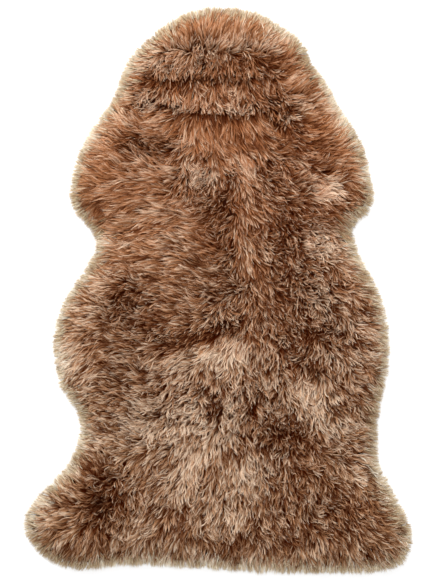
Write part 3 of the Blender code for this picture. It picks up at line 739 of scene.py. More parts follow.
class WoolForm:
    """The rug's form as the model gives it, on a grid: the wool's height and the distance to its rim.

    Fields are arrays with a value for each place of the grid. Distances from the rim are above 0 inside it.
    """

    def __init__(self):
        low, high = CAD_BOUNDS
        self.low = np.array([low.x - GRID_MARGIN, low.y - GRID_MARGIN])
        size = np.array([high.x - low.x, high.y - low.y]) + 2 * GRID_MARGIN
        self.shape = tuple((size / GRID_STEP).astype(int) + 1)
        self.places = np.stack(np.meshgrid(
            self.low[0] + GRID_STEP * np.arange(self.shape[0]),
            self.low[1] + GRID_STEP * np.arange(self.shape[1]), indexing="ij"), axis=-1)
        height = self.heights_of_model()
        covered = (height > 0).astype(float)
        inside = self.blurred(covered, MASK_BLUR) > RIM_FILL
        cover = np.maximum(self.blurred(covered, FORM_BLUR), LEAST_COVER)
        smooth = self.blurred(height, FORM_BLUR) / cover
        self.height = np.where(inside, self.blurred(smooth, FORM_BLUR), 0.0)
        self.from_rim = self.blurred(self.distances(inside), FORM_BLUR)
        slope = np.stack(np.gradient(self.blurred(self.from_rim, SLOPE_BLUR), GRID_STEP), axis=-1)
        self.outward = -slope / np.maximum(np.linalg.norm(slope, axis=-1, keepdims=True), TINY)

    def heights_of_model(self):
        """How high the model is over each place of the grid, 0 beside it."""
        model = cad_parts[NODE].data
        model.calc_loop_triangles()
        tree = BVHTree.FromPolygons(
            [v.co for v in model.vertices], [tuple(t.vertices) for t in model.loop_triangles])
        down = Vector((0, 0, -1))
        height = np.zeros(self.shape)
        for i in range(self.shape[0]):
            for j in range(self.shape[1]):
                x, y = self.places[i, j]
                hit = tree.ray_cast(Vector((x, y, RAY_HEIGHT)), down)[0]
                height[i, j] = hit.z if hit else 0.0
        return height

    @staticmethod
    def blurred(values, reach):
        """The mean over a square of cells, twice."""
        for axis in (0, 1, 0, 1):
            values = sum(np.roll(values, s, axis=axis) for s in range(-reach, reach + 1)) / (2 * reach + 1)
        return values

    def distances(self, inside):
        """How far each cell is from the rim, above 0 inside it."""
        edge = np.zeros_like(inside)
        for axis in (0, 1):
            for shift in (-1, 1):
                edge |= inside != np.roll(inside, shift, axis=axis)
        places = self.places[edge & inside]
        tree = kdtree.KDTree(len(places))
        for k, (x, y) in enumerate(places):
            tree.insert((x, y, 0), k)
        tree.balance()
        away = np.array([tree.find((x, y, 0))[2] for x, y in self.places.reshape(-1, 2)])
        return np.where(inside, away.reshape(self.shape), -away.reshape(self.shape))

    def at(self, field, points):
        """A grid field's value at each point, between the four cells round it."""
        place = (points - self.low) / GRID_STEP
        place = np.clip(place, 0, np.array(self.shape) - 1.001)
        cell = place.astype(int)
        part = place - cell
        i, j = cell[:, 0], cell[:, 1]
        u, v = part[:, 0], part[:, 1]
        if field.ndim == 3:
            u, v = u[:, None], v[:, None]
        return ((field[i, j] * (1 - u) + field[i + 1, j] * u) * (1 - v)
                + (field[i, j + 1] * (1 - u) + field[i + 1, j + 1] * u) * v)

    def ring(self, inset, count):
        """A closed line inset from the rim, run anticlockwise round the middle."""
        turn = np.arange(count) / count * 2 * math.pi
        way = np.stack([np.cos(turn), np.sin(turn)], axis=1)
        near = np.zeros(count)
        far = np.full(count, float(np.linalg.norm(self.low)))
        for _ in range(RING_STEPS):
            middle = (near + far) / 2
            within = self.at(self.from_rim, way * middle[:, None]) > inset
            near = np.where(within, middle, near)
            far = np.where(within, far, middle)
        return way * near[:, None]


@functools.cache
def wool_form():
    """The rug's form, read from the model once for all the pieces."""
    return WoolForm()


class Draws:
    """Random numbers from a fixed seed, by the names in the tables of spreads and ranges."""

    def __init__(self, seed):
        self.generator = np.random.default_rng(seed)

    def spread(self, name, shape, unit=1):
        """Numbers about 0, with the named standard deviation, in the given unit."""
        return self.generator.normal(0, SPREADS[name] * unit, shape)

    def between(self, name, shape):
        """Numbers drawn evenly from the named range."""
        return self.generator.uniform(*RANGES[name], shape)


def ramp(value, start, end):
    """0 up to the start, 1 from the end on, and even between them."""
    return np.clip((value - start) / (end - start), 0, 1)


def clouds(name, places):
    """The named smooth noise at each place."""
    size, layer, strength = CLOUDS[name]
    size *= MM
    return strength * 2 * np.array([noise.noise(Vector((x / size, y / size, layer))) for x, y in places])


def cloudy_shift(name, places):
    """The named noise across and along, to shift each place by."""
    return np.stack([clouds(name + ", across", places), clouds(name + ", along", places)], axis=1)


def staggered_places(form, pitch, shake, least, most, seed):
    """Places in staggered rows, each shaken off its row, that are least to most away from the rim."""
    draw = np.random.default_rng(seed)
    low, high = CAD_BOUNDS
    row_gap = pitch * math.sqrt(3) / 2
    rows = int((high.y - low.y) / row_gap) + 1
    columns = int((high.x - low.x) / pitch) + 1
    row, column = np.meshgrid(np.arange(rows), np.arange(columns), indexing="ij")
    x = low.x + (column + 0.5 * (row % 2)) * pitch
    y = low.y + row * row_gap
    shift = draw.uniform(-shake, shake, (rows * columns, 2)) * pitch
    places = np.stack([x, y], axis=-1).reshape(-1, 2) + shift
    away = form.at(form.from_rim, places)
    return places[(away > least) & (away < most)]


def combing(places, form):
    """The way the wool points and how flat it lies at each place, from the comb table and the rim."""
    rows = np.array([row[1:] for row in COMB], float)
    guides = rows[:, :2] * MM
    headings = np.radians(rows[:, 2])
    ways = np.stack([np.cos(headings), np.sin(headings)], axis=1)
    shifted = places + cloudy_shift("comb", places)
    gap = np.linalg.norm(shifted[:, None, :] - guides[None, :, :], axis=2)
    weight = (1.0 / (1.0 + (gap / GUIDE_REACH) ** GUIDE_FALL)) ** GUIDE_SHARPNESS
    weight /= weight.sum(1, keepdims=True)
    way = weight @ ways
    lie = weight @ rows[:, 3] * ramp(np.linalg.norm(way, axis=1), *AGREEMENT)
    off_rim = ramp(form.at(form.from_rim, places), RIM_TURN_REACH, 0) ** RIM_TURN_SHARPNESS
    way = way * (1 - off_rim[:, None]) + form.at(form.outward, places) * off_rim[:, None]
    way /= np.maximum(np.linalg.norm(way, axis=1, keepdims=True), TINY)
    return way, lie * (1 - off_rim) + off_rim


def patch_sum(rows, places):
    """What the soft-edged oval patches of a table add up to at each place."""
    total = np.zeros(len(places))
    for _, across, along, half_length, half_width, turn, depth in rows:
        cos, sin = math.cos(math.radians(turn)), math.sin(math.radians(turn))
        dx, dy = places[:, 0] / MM - across, places[:, 1] / MM - along
        length_share = (dx * cos + dy * sin) / half_length
        width_share = (dy * cos - dx * sin) / half_width
        total += depth * np.exp(-(length_share**2 + width_share**2))
    return total


def crease_fall(places, way):
    """How far the wool sinks under the creases' lips at each place, and how far it may run before a lip."""
    sink = np.zeros(len(places))
    room = np.full(len(places), MOST_ROOM)
    shifted = places + cloudy_shift("lip", places)
    for _, depth, lip in CREASES:
        points = np.array(lip) * MM
        nearest = np.full(len(places), MOST_ROOM)
        ahead = np.zeros(len(places))
        for start, end in zip(points, points[1:]):
            run = end - start
            share = np.clip(((shifted - start) @ run) / (run @ run), 0, 1)
            gap = start + share[:, None] * run - shifted
            away = np.linalg.norm(gap, axis=1)
            closer = away < nearest
            nearest = np.where(closer, away, nearest)
            ahead = np.where(closer, (gap * way).sum(1), ahead)
        past = (ahead <= 0) & (nearest < CREASE_WIDTH)
        before = (ahead > 0) & (nearest < 2 * CREASE_WIDTH)
        sink += np.where(past, depth * MM * (1 - nearest / CREASE_WIDTH), 0)
        sink -= np.where(before, LIP_SWELL * depth * MM * (1 - nearest / (2 * CREASE_WIDTH)), 0)
        room = np.where(before, np.minimum(room, ahead + LIP_ROOM), room)
    return sink, room


def turned(way, angle):
    """The ways, each turned anticlockwise by its angle."""
    cos, sin = np.cos(angle), np.sin(angle)
    return np.stack([way[:, 0] * cos - way[:, 1] * sin, way[:, 0] * sin + way[:, 1] * cos], axis=1)


def habit(name, lock):
    """The named habit of each lock, from its traits."""
    return sum(share * getattr(lock, trait) for trait, share in HABITS[name].items())


def lock_traits(form, places, sizes, rim, draws):
    """What the lock at each place is like: its traits, its way, its height, its length and its shade."""
    number = len(places)
    lock = types.SimpleNamespace(places=places, always=np.ones(number))
    way, lie = combing(places, form)
    lock.curl = np.zeros(number) if rim else np.clip(patch_sum(CURLS, places), 0, 1)
    lock.lie = lie * habit("lie left by curls", lock)
    lock.stand = 1 - lock.lie
    lock.hind = ramp(places[:, 1], *HIND)
    fore = ramp(places[:, 1], *FORE)
    lock.shaggy = 1 - fore
    lock.sleek = fore * lock.lie
    lock.away = form.at(form.from_rim, places)
    lock.near_rim = np.exp(-lock.away / RIM_NEARNESS)

    loose = habit("looseness of the rim" if rim else "looseness", lock)
    swirl = clouds("swirl", places) + clouds("small swirl", places)
    turn = swirl * loose + draws.spread("lock turn", number) * loose + clouds("wide swirl", places)
    lock.way = turned(way, turn)
    level = (clouds("height", places) + draws.spread("lock height", number)) * loose
    lock.level = np.minimum(level * habit("unevenness", lock), MOST_RISE)

    # The patches add painted shade and painted highlight to the wool's own tone.
    patches = patch_sum(PATCHES, places)
    lock.lively = 1 + patch_sum(LIVELINESS, places)
    mottle = clouds("tone", places) * habit("tone clouds", lock)
    mottle += clouds("small tone", places) * habit("small tone clouds", lock)
    mottle += draws.spread("lock tone", number) * habit("lock tone", lock)
    lock.shade = patches * np.where(patches > 0, PALE_DEPTH, DARK_DEPTH) + mottle * lock.lively
    lock.shade += clouds("wide tone", places) * fore
    lock.pale = np.clip(lock.shade, 0, 1)

    sink, room = crease_fall(places, lock.way)
    reach = sizes.strand_reach * habit("reach", lock) * habit("reach along the rug", lock)
    reach *= draws.between("lock reach", number)
    lock.reach = np.minimum(reach, np.maximum(room / (1 - ROOT_SHARE), LEAST_REACH))
    if not rim:
        lock.level -= sink
    gather = habit("gather", lock) + draws.spread("lock gather", number)
    lock.gather = np.clip(gather, 0.0, MOST_GATHER)
    lock.wave = clouds("wave", places)
    lock.bow = (clouds("bow", places) + draws.spread("lock bow", number)) * habit("bow", lock)
    return lock


def root_strands(form, lock, count, in_wisp, sizes, rim, draws):
    """Roots count strands in each lock: which lock and wisp each belongs to, and the place of its root."""
    number = len(lock.places)
    each = np.repeat(np.arange(number), count)
    wisp = np.arange(number * count) // in_wisp
    wisps = number * count // in_wisp
    pitch = sizes.rim_pitch if rim else sizes.lock_pitch
    off_lock = draws.spread("wisp place", (wisps, 2), pitch)[wisp]
    off_wisp = draws.spread("strand place", (len(each), 2))
    root = lock.places[each] + off_lock + off_wisp
    if not rim:
        behind = draws.between("root behind its lock", wisps)[wisp]
        root -= lock.way[each] * (behind * lock.reach[each])[:, None]
    keep = form.at(form.from_rim, root) > ROOT_FROM_RIM
    return types.SimpleNamespace(
        lock=each[keep], wisp=wisp[keep], wisps=wisps, total=int(keep.sum()), root=root[keep],
        off_lock=off_lock[keep], off_wisp=off_wisp[keep], wisp_spread=SPREADS["wisp place"] * pitch)


def lay_strands(form, lock, strand, rim, draws):
    """Lays each strand along its lock's way, as seen from above: where its knee and its tip are."""
    each, total = strand.lock, strand.total
    astray = draws.spread("wisp turn", strand.wisps)[strand.wisp] * habit("wisp turn", lock)[each]
    astray += draws.spread("strand turn", total)
    heading = turned(lock.way[each], astray)
    strand.side = np.stack([-heading[:, 1], heading[:, 0]], axis=1)
    if rim:
        tuft = (clouds("rim tufts", lock.places) + draws.spread("rim tuft length", len(lock.places)))[each]
        tuft += draws.spread("rim wisp length", strand.wisps)[strand.wisp]
        run = lock.away[each] + tuft + RIM_OVERHANG - np.abs(draws.spread("rim strand length", total))
        run = np.maximum(run, LEAST_RIM_RUN)
        inset = draws.between("rim tip inside the rim", total) - np.clip(tuft, *TUFT_OFF_RIM)
    else:
        run = lock.reach[each] * draws.between("wisp reach", strand.wisps)[strand.wisp]
        run *= draws.between("strand reach", total)
        inset = draws.between("fleece tip inside the rim", total)
    bow = strand.side * (lock.bow[each] * run)[:, None]
    tip = strand.root + heading * run[:, None] + bow
    tip -= strand.off_lock * lock.gather[each][:, None] + strand.off_wisp * WISP_GATHER
    past = np.maximum(inset - form.at(form.from_rim, tip), 0)
    strand.tip = tip - form.at(form.outward, tip) * past[:, None]
    strand.knee = (strand.root + strand.tip) / 2 - bow * KNEE_BOW


def lift_strands(form, lock, strand, rim, draws):
    """Gives each strand's root, knee and tip their heights."""
    each, total = strand.lock, strand.total
    root_z = form.at(form.height, strand.root) - habit("root depth", lock)[each]
    root_z = np.maximum(root_z, LOWEST_ROOT)
    off_middle = np.abs((strand.off_lock * strand.side).sum(1)) / strand.wisp_spread
    strand.off_middle = np.minimum(off_middle, MOST_OFF_MIDDLE)
    lift = lock.level[each] + draws.spread("wisp height", strand.wisps)[strand.wisp]
    lift += draws.spread("strand height", total) - LOCK_CROWN * np.minimum(off_middle**2, MOST_CROWN)
    knee_z = form.at(form.height, strand.knee)
    tip_z = form.at(form.height, strand.tip)
    if rim:
        tip_z *= ramp(form.at(form.from_rim, strand.tip), 0, RIM_FALL)
        tip_z += draws.between("rim tip height", total)
        knee_z += draws.between("rim knee height", total)
    else:
        tip_z += lift + habit("tip rise", lock)[each]
        knee_z += lift + habit("knee rise", lock)[each]
    knee_z = np.maximum(knee_z, root_z + LEAST_KNEE_RISE)
    tip_z = np.maximum(tip_z, LOWEST_TIP)
    strand.root = np.column_stack([strand.root, root_z])
    strand.knee = np.column_stack([strand.knee, knee_z])
    strand.tip = np.column_stack([strand.tip, tip_z])


def shade_strands(lock, strand, rim, draws):
    """Gives each strand its place across the wool's map, by kind and tone, and how far the painted shade at
    its root is lifted.
    """
    each, total = strand.lock, strand.total
    root = strand.root[:, :2]
    # Wool turns beige along the rug, in pale patches, which are partly painted highlight, and near the rim,
    # where it then turns golden; that paleness at the rim is partly the fringe's own colour and partly
    # painted light.
    beige = ramp(root[:, 1], *BEIGE_STRETCH) * BEIGE_OF_STRETCH + patch_sum(PATCHES, root) * BEIGE_OF_PATCHES
    beige += np.exp(-lock.away[each] / BEIGE_REACH) * BEIGE_OF_RIM
    kind = np.clip(np.round(beige * BEIGE_KIND + draws.spread("strand kind", total)), 0, BEIGE_KIND)
    golden = ramp(lock.away[each], *(GOLDEN_IN_RIM if rim else GOLDEN_IN_FLEECE))
    kind = np.where(draws.between("chance", total) < golden, GOLDEN_KIND, kind)
    shade = lock.shade[each]
    # Wool near the rim is paler, partly painted light through the thin fringe; wool at the sides of a lock
    # is darker, as painted shade where it lies lower than the lock's middle.
    edges = TONE_OF_EDGES * lock.near_rim[each] - TONE_OF_EDGES * strand.off_middle
    tone = TONE_MIDDLE + TONE_REACH * np.tanh((shade + edges) / TONE_SOFTNESS)
    tone += PALEST_LIFT * np.clip(shade - PALEST_START, 0, 1)
    single = draws.spread("wisp tone", strand.wisps)[strand.wisp] + draws.spread("strand tone", total)
    tone += single * (habit("strand tone", lock) * habit("strand tone by the rim", lock) * lock.lively)[each]
    within = BAND_MARGIN + (1 - 2 * BAND_MARGIN) * np.clip(tone, *TONE_ENDS)
    strand.shade = (kind + within) / WOOL_KINDS
    # How far the painted shade at each strand's root is lifted towards the strand's own colour.
    bleach = np.clip(habit("bleach", lock), 0, MOST_ROOT_SHADE_LIFT)[each]
    strand.bleach = np.where(kind == GOLDEN_KIND, GOLDEN_ROOT_SHADE_LIFT, bleach)


def comb_strands(form, places, count, in_wisp, sizes, rim, seed):
    """All that the strand nodes read, for count strands in each place's lock, in_wisp of them to a wisp."""
    draws = Draws(seed)
    lock = lock_traits(form, places, sizes, rim, draws)
    strand = root_strands(form, lock, count, in_wisp, sizes, rim, draws)
    lay_strands(form, lock, strand, rim, draws)
    lift_strands(form, lock, strand, rim, draws)
    shade_strands(lock, strand, rim, draws)
    each, total = strand.lock, strand.total
    width = sizes.rim_strand_width if rim else sizes.strand_width
    crimp = habit("crimp of the rim" if rim else "crimp", lock)[each]
    return {
        "root": strand.root,
        "knee": strand.knee - strand.root,
        "tip": strand.tip - strand.root,
        "sway": np.column_stack([strand.side * crimp[:, None], np.zeros(total)]),
        "phase": lock.wave[each] + draws.spread("wisp wave", strand.wisps)[strand.wisp],
        "crimps": habit("crimps", lock)[each],
        "thick": width / BLADE_WIDTH * draws.between("strand width", total),
        "roll": draws.spread("strand roll", total),
        "bleach": strand.bleach,
        "shade": strand.shade,
    }


def root_points(name, strands):
    """A mesh of loose points, one at each strand's root, that carries the strand's own values."""
    mesh = bpy.data.meshes.new(name)
    mesh.from_pydata(strands["root"].tolist(), [], [])
    for key, values in strands.items():
        vector = values.ndim == 2
        attribute = mesh.attributes.new(key, "FLOAT_VECTOR" if vector else "FLOAT", "POINT")
        attribute.data.foreach_set("vector" if vector else "value", values.astype(np.float32).ravel())
    return mesh


def strand_tree():
    """Nodes that put a tapered flat strand on each point, and bend it along that point's own curve."""
    tree = bpy.data.node_groups.new("wool_strands", "GeometryNodeTree")
    socket = tree.interface.new_socket
    socket("Geometry", in_out="OUTPUT", socket_type="NodeSocketGeometry")
    socket("Geometry", in_out="INPUT", socket_type="NodeSocketGeometry")
    bends = socket("Bends", in_out="INPUT", socket_type="NodeSocketInt")
    fullness = socket("Fullness", in_out="INPUT", socket_type="NodeSocketFloat")
    colour = socket("Wool", in_out="INPUT", socket_type="NodeSocketMaterial")
    given = add_node(tree, "NodeGroupInput").outputs

    def vector_math(operation, first, second=None, scale=None):
        values = {0: first}
        if second is not None:
            values[1] = second
        if scale is not None:
            values["Scale"] = scale
        node = add_node(tree, "ShaderNodeVectorMath", {"operation": operation}, values)
        return node.outputs["Value" if operation in ("DOT_PRODUCT", "LENGTH") else "Vector"]

    def number_math(operation, first, second=0.0, third=0.0):
        return add_node(tree, "ShaderNodeMath", {"operation": operation},
                        {0: first, 1: second, 2: third}).outputs["Value"]

    def stored(name, kind="FLOAT"):
        return add_node(tree, "GeometryNodeInputNamedAttribute", {"data_type": kind},
                        {"Name": name}).outputs["Attribute"]

    spike = add_node(tree, "GeometryNodeMeshCone", {"fill_type": "NONE"}, {
        "Vertices": 3, "Side Segments": given["Bends"],
        "Radius Top": 0.0, "Radius Bottom": 1.0, "Depth": 1.0})
    corner = add_node(tree, "ShaderNodeSeparateXYZ", None, {
        "Vector": add_node(tree, "GeometryNodeInputPosition").outputs["Position"]})
    surplus = number_math("GREATER_THAN", corner.outputs["X"], BLADE_CUT)
    blade = add_node(tree, "GeometryNodeDeleteGeometry", {"domain": "FACE"}, {
        "Geometry": spike.outputs["Mesh"], "Selection": surplus})
    on_points = {"data_type": "FLOAT_VECTOR", "domain": "POINT"}
    marked = add_node(tree, "GeometryNodeStoreNamedAttribute", on_points, {
        "Geometry": blade.outputs["Geometry"], "Name": "spike",
        "Value": add_node(tree, "GeometryNodeInputPosition").outputs["Position"]})
    placed = add_node(tree, "GeometryNodeInstanceOnPoints", None, {
        "Points": given["Geometry"], "Instance": marked.outputs["Geometry"]})
    real = add_node(tree, "GeometryNodeRealizeInstances", None, {"Geometry": placed.outputs["Instances"]})

    spike_place = add_node(tree, "ShaderNodeSeparateXYZ", None, {"Vector": stored("spike", "FLOAT_VECTOR")})
    across, along = spike_place.outputs["Y"], spike_place.outputs["Z"]
    knee, tip = stored("knee", "FLOAT_VECTOR"), stored("tip", "FLOAT_VECTOR")
    back = number_math("SUBTRACT", 1.0, along)
    knee_share = number_math("MULTIPLY", number_math("MULTIPLY", back, along), 2.0)
    tip_share = number_math("MULTIPLY", along, along)
    curve = vector_math("ADD", vector_math("SCALE", knee, scale=knee_share),
                        vector_math("SCALE", tip, scale=tip_share))
    swing = number_math("SINE", number_math("MULTIPLY_ADD", along, stored("crimps"), stored("phase")))
    swing = number_math("MULTIPLY", swing, number_math("POWER", along, SWAY_RISE))
    curve = vector_math("ADD", curve, vector_math("SCALE", stored("sway", "FLOAT_VECTOR"), scale=swing))

    heading = vector_math("NORMALIZE", tip)
    side = vector_math("NORMALIZE", vector_math("CROSS_PRODUCT", heading, (0.0, 0.0, 1.0)))
    lift = vector_math("CROSS_PRODUCT", side, heading)
    width = number_math("MULTIPLY", stored("thick"),
                        number_math("MULTIPLY_ADD", along, given["Fullness"], 1.0))
    spread = number_math("MULTIPLY", across, width)
    level = number_math("MULTIPLY", spread, number_math("COSINE", stored("roll")))
    steep = number_math("MULTIPLY", spread, number_math("SINE", stored("roll")))
    section = vector_math("ADD", vector_math("SCALE", side, scale=level),
                          vector_math("SCALE", lift, scale=steep))
    place = vector_math("ADD", vector_math("ADD", stored("root", "FLOAT_VECTOR"), curve), section)
    bent = add_node(tree, "GeometryNodeSetPosition", None, {
        "Geometry": real.outputs["Geometry"], "Position": place})

    map_across = number_math("MULTIPLY_ADD", across, MAP_WIDTH, stored("shade"))
    # A strand whose root shade is lifted starts further along the map, past some of its painted root shade.
    map_along = number_math("MULTIPLY_ADD", number_math("MULTIPLY", back, -MAP_RUN),
                            number_math("SUBTRACT", 1.0, stored("bleach")), MAP_TIP)
    on_map = add_node(tree, "ShaderNodeCombineXYZ", None, {"X": map_across, "Y": map_along})
    mapped = add_node(tree, "GeometryNodeStoreNamedAttribute", {"data_type": "FLOAT2", "domain": "CORNER"}, {
        "Geometry": bent.outputs["Geometry"], "Name": "OFBake", "Value": on_map.outputs["Vector"]})
    rounded = add_node(tree, "GeometryNodeSetShadeSmooth", None, {"Geometry": mapped.outputs["Geometry"]})
    finished = add_node(tree, "GeometryNodeSetMaterial", None, {
        "Geometry": rounded.outputs["Geometry"], "Material": given["Wool"]})
    add_node(tree, "NodeGroupOutput", None, {"Geometry": finished.outputs["Geometry"]})
    return tree, {"bends": bends.identifier, "fullness": fullness.identifier, "wool": colour.identifier}


def grown_strands(name, strands, bends, material):
    """The piece of wool that the strand nodes make from these strands, as a plain mesh."""
    tree, sockets = strand_tree()
    points = root_points(name + "_roots", strands)
    holder = bpy.data.objects.new(name + "_roots", points)
    bpy.context.scene.collection.objects.link(holder)
    modifier = holder.modifiers.new("wool", "NODES")
    modifier.node_group = tree
    modifier[sockets["bends"]] = bends
    modifier[sockets["fullness"]] = BLADE_FULLNESS
    modifier[sockets["wool"]] = material
    graph = bpy.context.evaluated_depsgraph_get()
    mesh = bpy.data.meshes.new_from_object(holder.evaluated_get(graph), depsgraph=graph)
    mesh.name = name
    holder.modifiers.remove(modifier)
    bpy.data.objects.remove(holder)
    bpy.data.meshes.remove(points)
    bpy.data.node_groups.remove(tree)
    for key in ("spike", *strands):
        if key in mesh.attributes:
            mesh.attributes.remove(mesh.attributes[key])
    piece = bpy.data.objects.new(name, mesh)
    bpy.context.scene.collection.objects.link(piece)
    return piece


def empty_material(name):
    """A new material, and its tree without any nodes."""
    material = bpy.data.materials.new(name)
    material.use_nodes = True
    material.node_tree.nodes.clear()
    return material, material.node_tree


def end_in_shader(tree, values):
    """Ends a material's tree in a shader with these inputs."""
    shader = add_node(tree, "ShaderNodeBsdfPrincipled", None, values)
    add_node(tree, "ShaderNodeOutputMaterial", None, {"Surface": shader.outputs["BSDF"]})


def wool_material(colours):
    """Combed, dyed sheep's wool. Each strand is dark at its root and pale at its tip. The pale tip is wool
    that was dyed on the skin and has been bleached by light; the dark root is partly that dye and partly
    painted shade, so the depth between the locks shows. The map's first number says which strand: from
    caramel to beige in four steps, then golden, each from dark to pale. The second runs from root to tip."""
    material, tree = empty_material("combed_sheep_wool")

    def number_math(operation, first, second=0.0):
        return add_node(tree, "ShaderNodeMath", {"operation": operation}, {
            0: first, 1: second}).outputs["Value"]

    def mixed(factor, first, second):
        return add_node(tree, "ShaderNodeMix", {"data_type": "RGBA"}, {
            "Factor": factor, "A": first, "B": second}).outputs["Result"]

    map_place = add_node(tree, "ShaderNodeUVMap", {"uv_map": "OFBake"}).outputs["UV"]
    parts = add_node(tree, "ShaderNodeSeparateXYZ", None, {"Vector": map_place}).outputs
    scaled = number_math("MULTIPLY", parts["X"], float(WOOL_KINDS))
    tone = number_math("FRACT", scaled)
    kind = number_math("FLOOR", scaled)
    low_half = add_node(tree, "ShaderNodeMapRange", None, {
        "Value": tone, "From Max": 0.5}).outputs["Result"]
    high_half = add_node(tree, "ShaderNodeMapRange", None, {
        "Value": tone, "From Min": 0.5}).outputs["Result"]

    def along_strand(stretch, low, high):
        return add_node(tree, "ShaderNodeMapRange", {"interpolation_type": "SMOOTHSTEP"}, {
            "Value": parts["Y"], "From Min": stretch[0], "From Max": stretch[1],
            "To Min": low, "To Max": high}).outputs["Result"]

    def shades(hex_texts):
        dark, middle, pale = (linear_colour(text) for text in hex_texts.split())
        return mixed(high_half, mixed(low_half, dark, middle), pale)

    warm, beige, golden = shades(colours.warm), shades(colours.beige), shades(colours.golden)
    body = mixed(number_math("DIVIDE", kind, BEIGE_KIND), warm, beige)
    on_rim = number_math("GREATER_THAN", kind, GOLDEN_KIND - 0.5)
    body = mixed(on_rim, body, golden)
    # The strand fades up from its root colour, partly painted shade, tinted warm for light that came through
    # the wool.
    root = mixed(on_rim, linear_colour(colours.root), linear_colour(colours.golden.split()[0]))
    fade = along_strand(ROOT_FADE, 0.0, 1.0)
    warmth = mixed(fade, mixed(on_rim, WARM_ROOT, WHITE), WHITE)
    rising = add_node(tree, "ShaderNodeVectorMath", {"operation": "MULTIPLY"}, {
        0: mixed(fade, root, body), 1: warmth})
    bright = add_node(tree, "ShaderNodeVectorMath", {"operation": "SCALE"}, {
        0: rising.outputs["Vector"], "Scale": along_strand(TIP_FADE, 1.0, TIP_BRIGHTNESS)})
    end_in_shader(tree, {
        "Base Color": bright.outputs["Vector"], "Roughness": 0.6, "IOR": 1.45, "Specular IOR Level": 0.01})
    return material


def underwool_material(colours):
    """Short felted underwool. It is matt and nearly black-brown, since hardly any light gets down to it,
    with the crimp of the wool, about 3 mm from wave to wave, as a soft relief."""
    material, tree = empty_material("felted_underwool")
    place = add_node(tree, "ShaderNodeTexCoord").outputs["Object"]
    crimp = add_node(tree, "ShaderNodeTexNoise", None, {
        "Vector": place, "Scale": 1 / (3 * MM), "Detail": 3.0, "Roughness": 0.6})
    colour = add_node(tree, "ShaderNodeMix", {"data_type": "RGBA"}, {
        "Factor": crimp.outputs["Fac"], "A": linear_colour(colours.depth), "B": linear_colour(colours.root)})
    relief = add_node(tree, "ShaderNodeBump", None, {
        "Strength": 0.6, "Distance": 1 * MM, "Height": crimp.outputs["Fac"]})
    end_in_shader(tree, {
        "Base Color": colour.outputs["Result"], "Roughness": 0.95, "Specular IOR Level": 0.1,
        "Normal": relief.outputs["Normal"]})
    return material


def floor_material():
    """Matt white background paper, without any shine."""
    material = bpy.data.materials.new("matt_white_paper")
    material.use_nodes = True
    shader = material.node_tree.nodes["Principled BSDF"]
    shader.inputs["Base Color"].default_value = linear_colour(FLOOR_COLOUR)
    shader.inputs["Roughness"].default_value = 1.0
    shader.inputs["Specular IOR Level"].default_value = 0.0
    return material


def hide_material(colours):
    """Tanned and buffed suede, the flesh side of the skin. It is matt, with a fine nap of about 0.8 mm and
    cloudy tan patches of about 40 mm where the tanning took more or less."""
    material, tree = empty_material("buffed_suede_hide")
    place = add_node(tree, "ShaderNodeTexCoord").outputs["Object"]
    patchy = add_node(tree, "ShaderNodeTexNoise", None, {
        "Vector": place, "Scale": 1 / (40 * MM), "Detail": 4.0, "Roughness": 0.55})
    nap = add_node(tree, "ShaderNodeTexNoise", None, {
        "Vector": place, "Scale": 1 / (0.8 * MM), "Detail": 2.0, "Roughness": 0.7})
    tan = linear_colour(colours.hide)
    darker = tuple(c * 0.72 for c in tan[:3]) + (1.0,)
    cloudy = add_node(tree, "ShaderNodeMix", {"data_type": "RGBA"}, {
        "Factor": patchy.outputs["Fac"], "A": darker, "B": tan})
    napped = add_node(tree, "ShaderNodeMapRange", None, {
        "Value": nap.outputs["Fac"], "To Min": 0.85, "To Max": 1.1})
    colour = add_node(tree, "ShaderNodeVectorMath", {"operation": "SCALE"}, {
        0: cloudy.outputs["Result"], "Scale": napped.outputs["Result"]})
    relief = add_node(tree, "ShaderNodeBump", None, {
        "Strength": 0.4, "Distance": 0.3 * MM, "Height": nap.outputs["Fac"]})
    end_in_shader(tree, {
        "Base Color": colour.outputs["Vector"], "Roughness": 0.9, "Specular IOR Level": 0.2,
        "Normal": relief.outputs["Normal"]})
    return material


def net_mesh(name, ring, inner, top_height, low_height):
    """A closed body over a flat outline: an uneven top net, a wall round the ring and a flat underside."""
    count = len(ring)
    edges = [(i, (i + 1) % count) for i in range(count)]
    bm = bmesh.new()

    def add_net(points, heights, flip):
        flat = [Vector(p) for p in points]
        _, _, faces, origins, _, _ = geometry.delaunay_2d_cdt(flat, edges, [], 1, NET_TOLERANCE)
        made = [bm.verts.new((x, y, z)) for (x, y), z in zip(points, heights)]
        for face in faces:
            corners = [made[origins[k][0]] for k in face]
            bm.faces.new(corners[::-1] if flip else corners)
        return made[:count]

    every = np.vstack([ring, inner])
    high = add_net(every, top_height(every), False)
    low = add_net(every, np.full(len(every), low_height), True)
    for i, j in edges:
        bm.faces.new((low[i], low[j], high[j], high[i]))
    bmesh.ops.recalc_face_normals(bm, faces=bm.faces)
    mesh = bpy.data.meshes.new(name)
    bm.to_mesh(mesh)
    bm.free()
    mesh.shade_smooth()
    mesh.set_sharp_from_angle(angle=math.radians(SHARP_DEGREES))
    return mesh


def add_piece(mesh, material):
    """A piece of the scene with this mesh and material."""
    mesh.materials.append(material)
    piece = bpy.data.objects.new(mesh.name, mesh)
    bpy.context.scene.collection.objects.link(piece)
    return piece


def join_frame(piece):
    """Hangs the piece on the body that it rides on, and hides the model's part that it stands in for."""
    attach(piece, BODY)
    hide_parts(NODE)


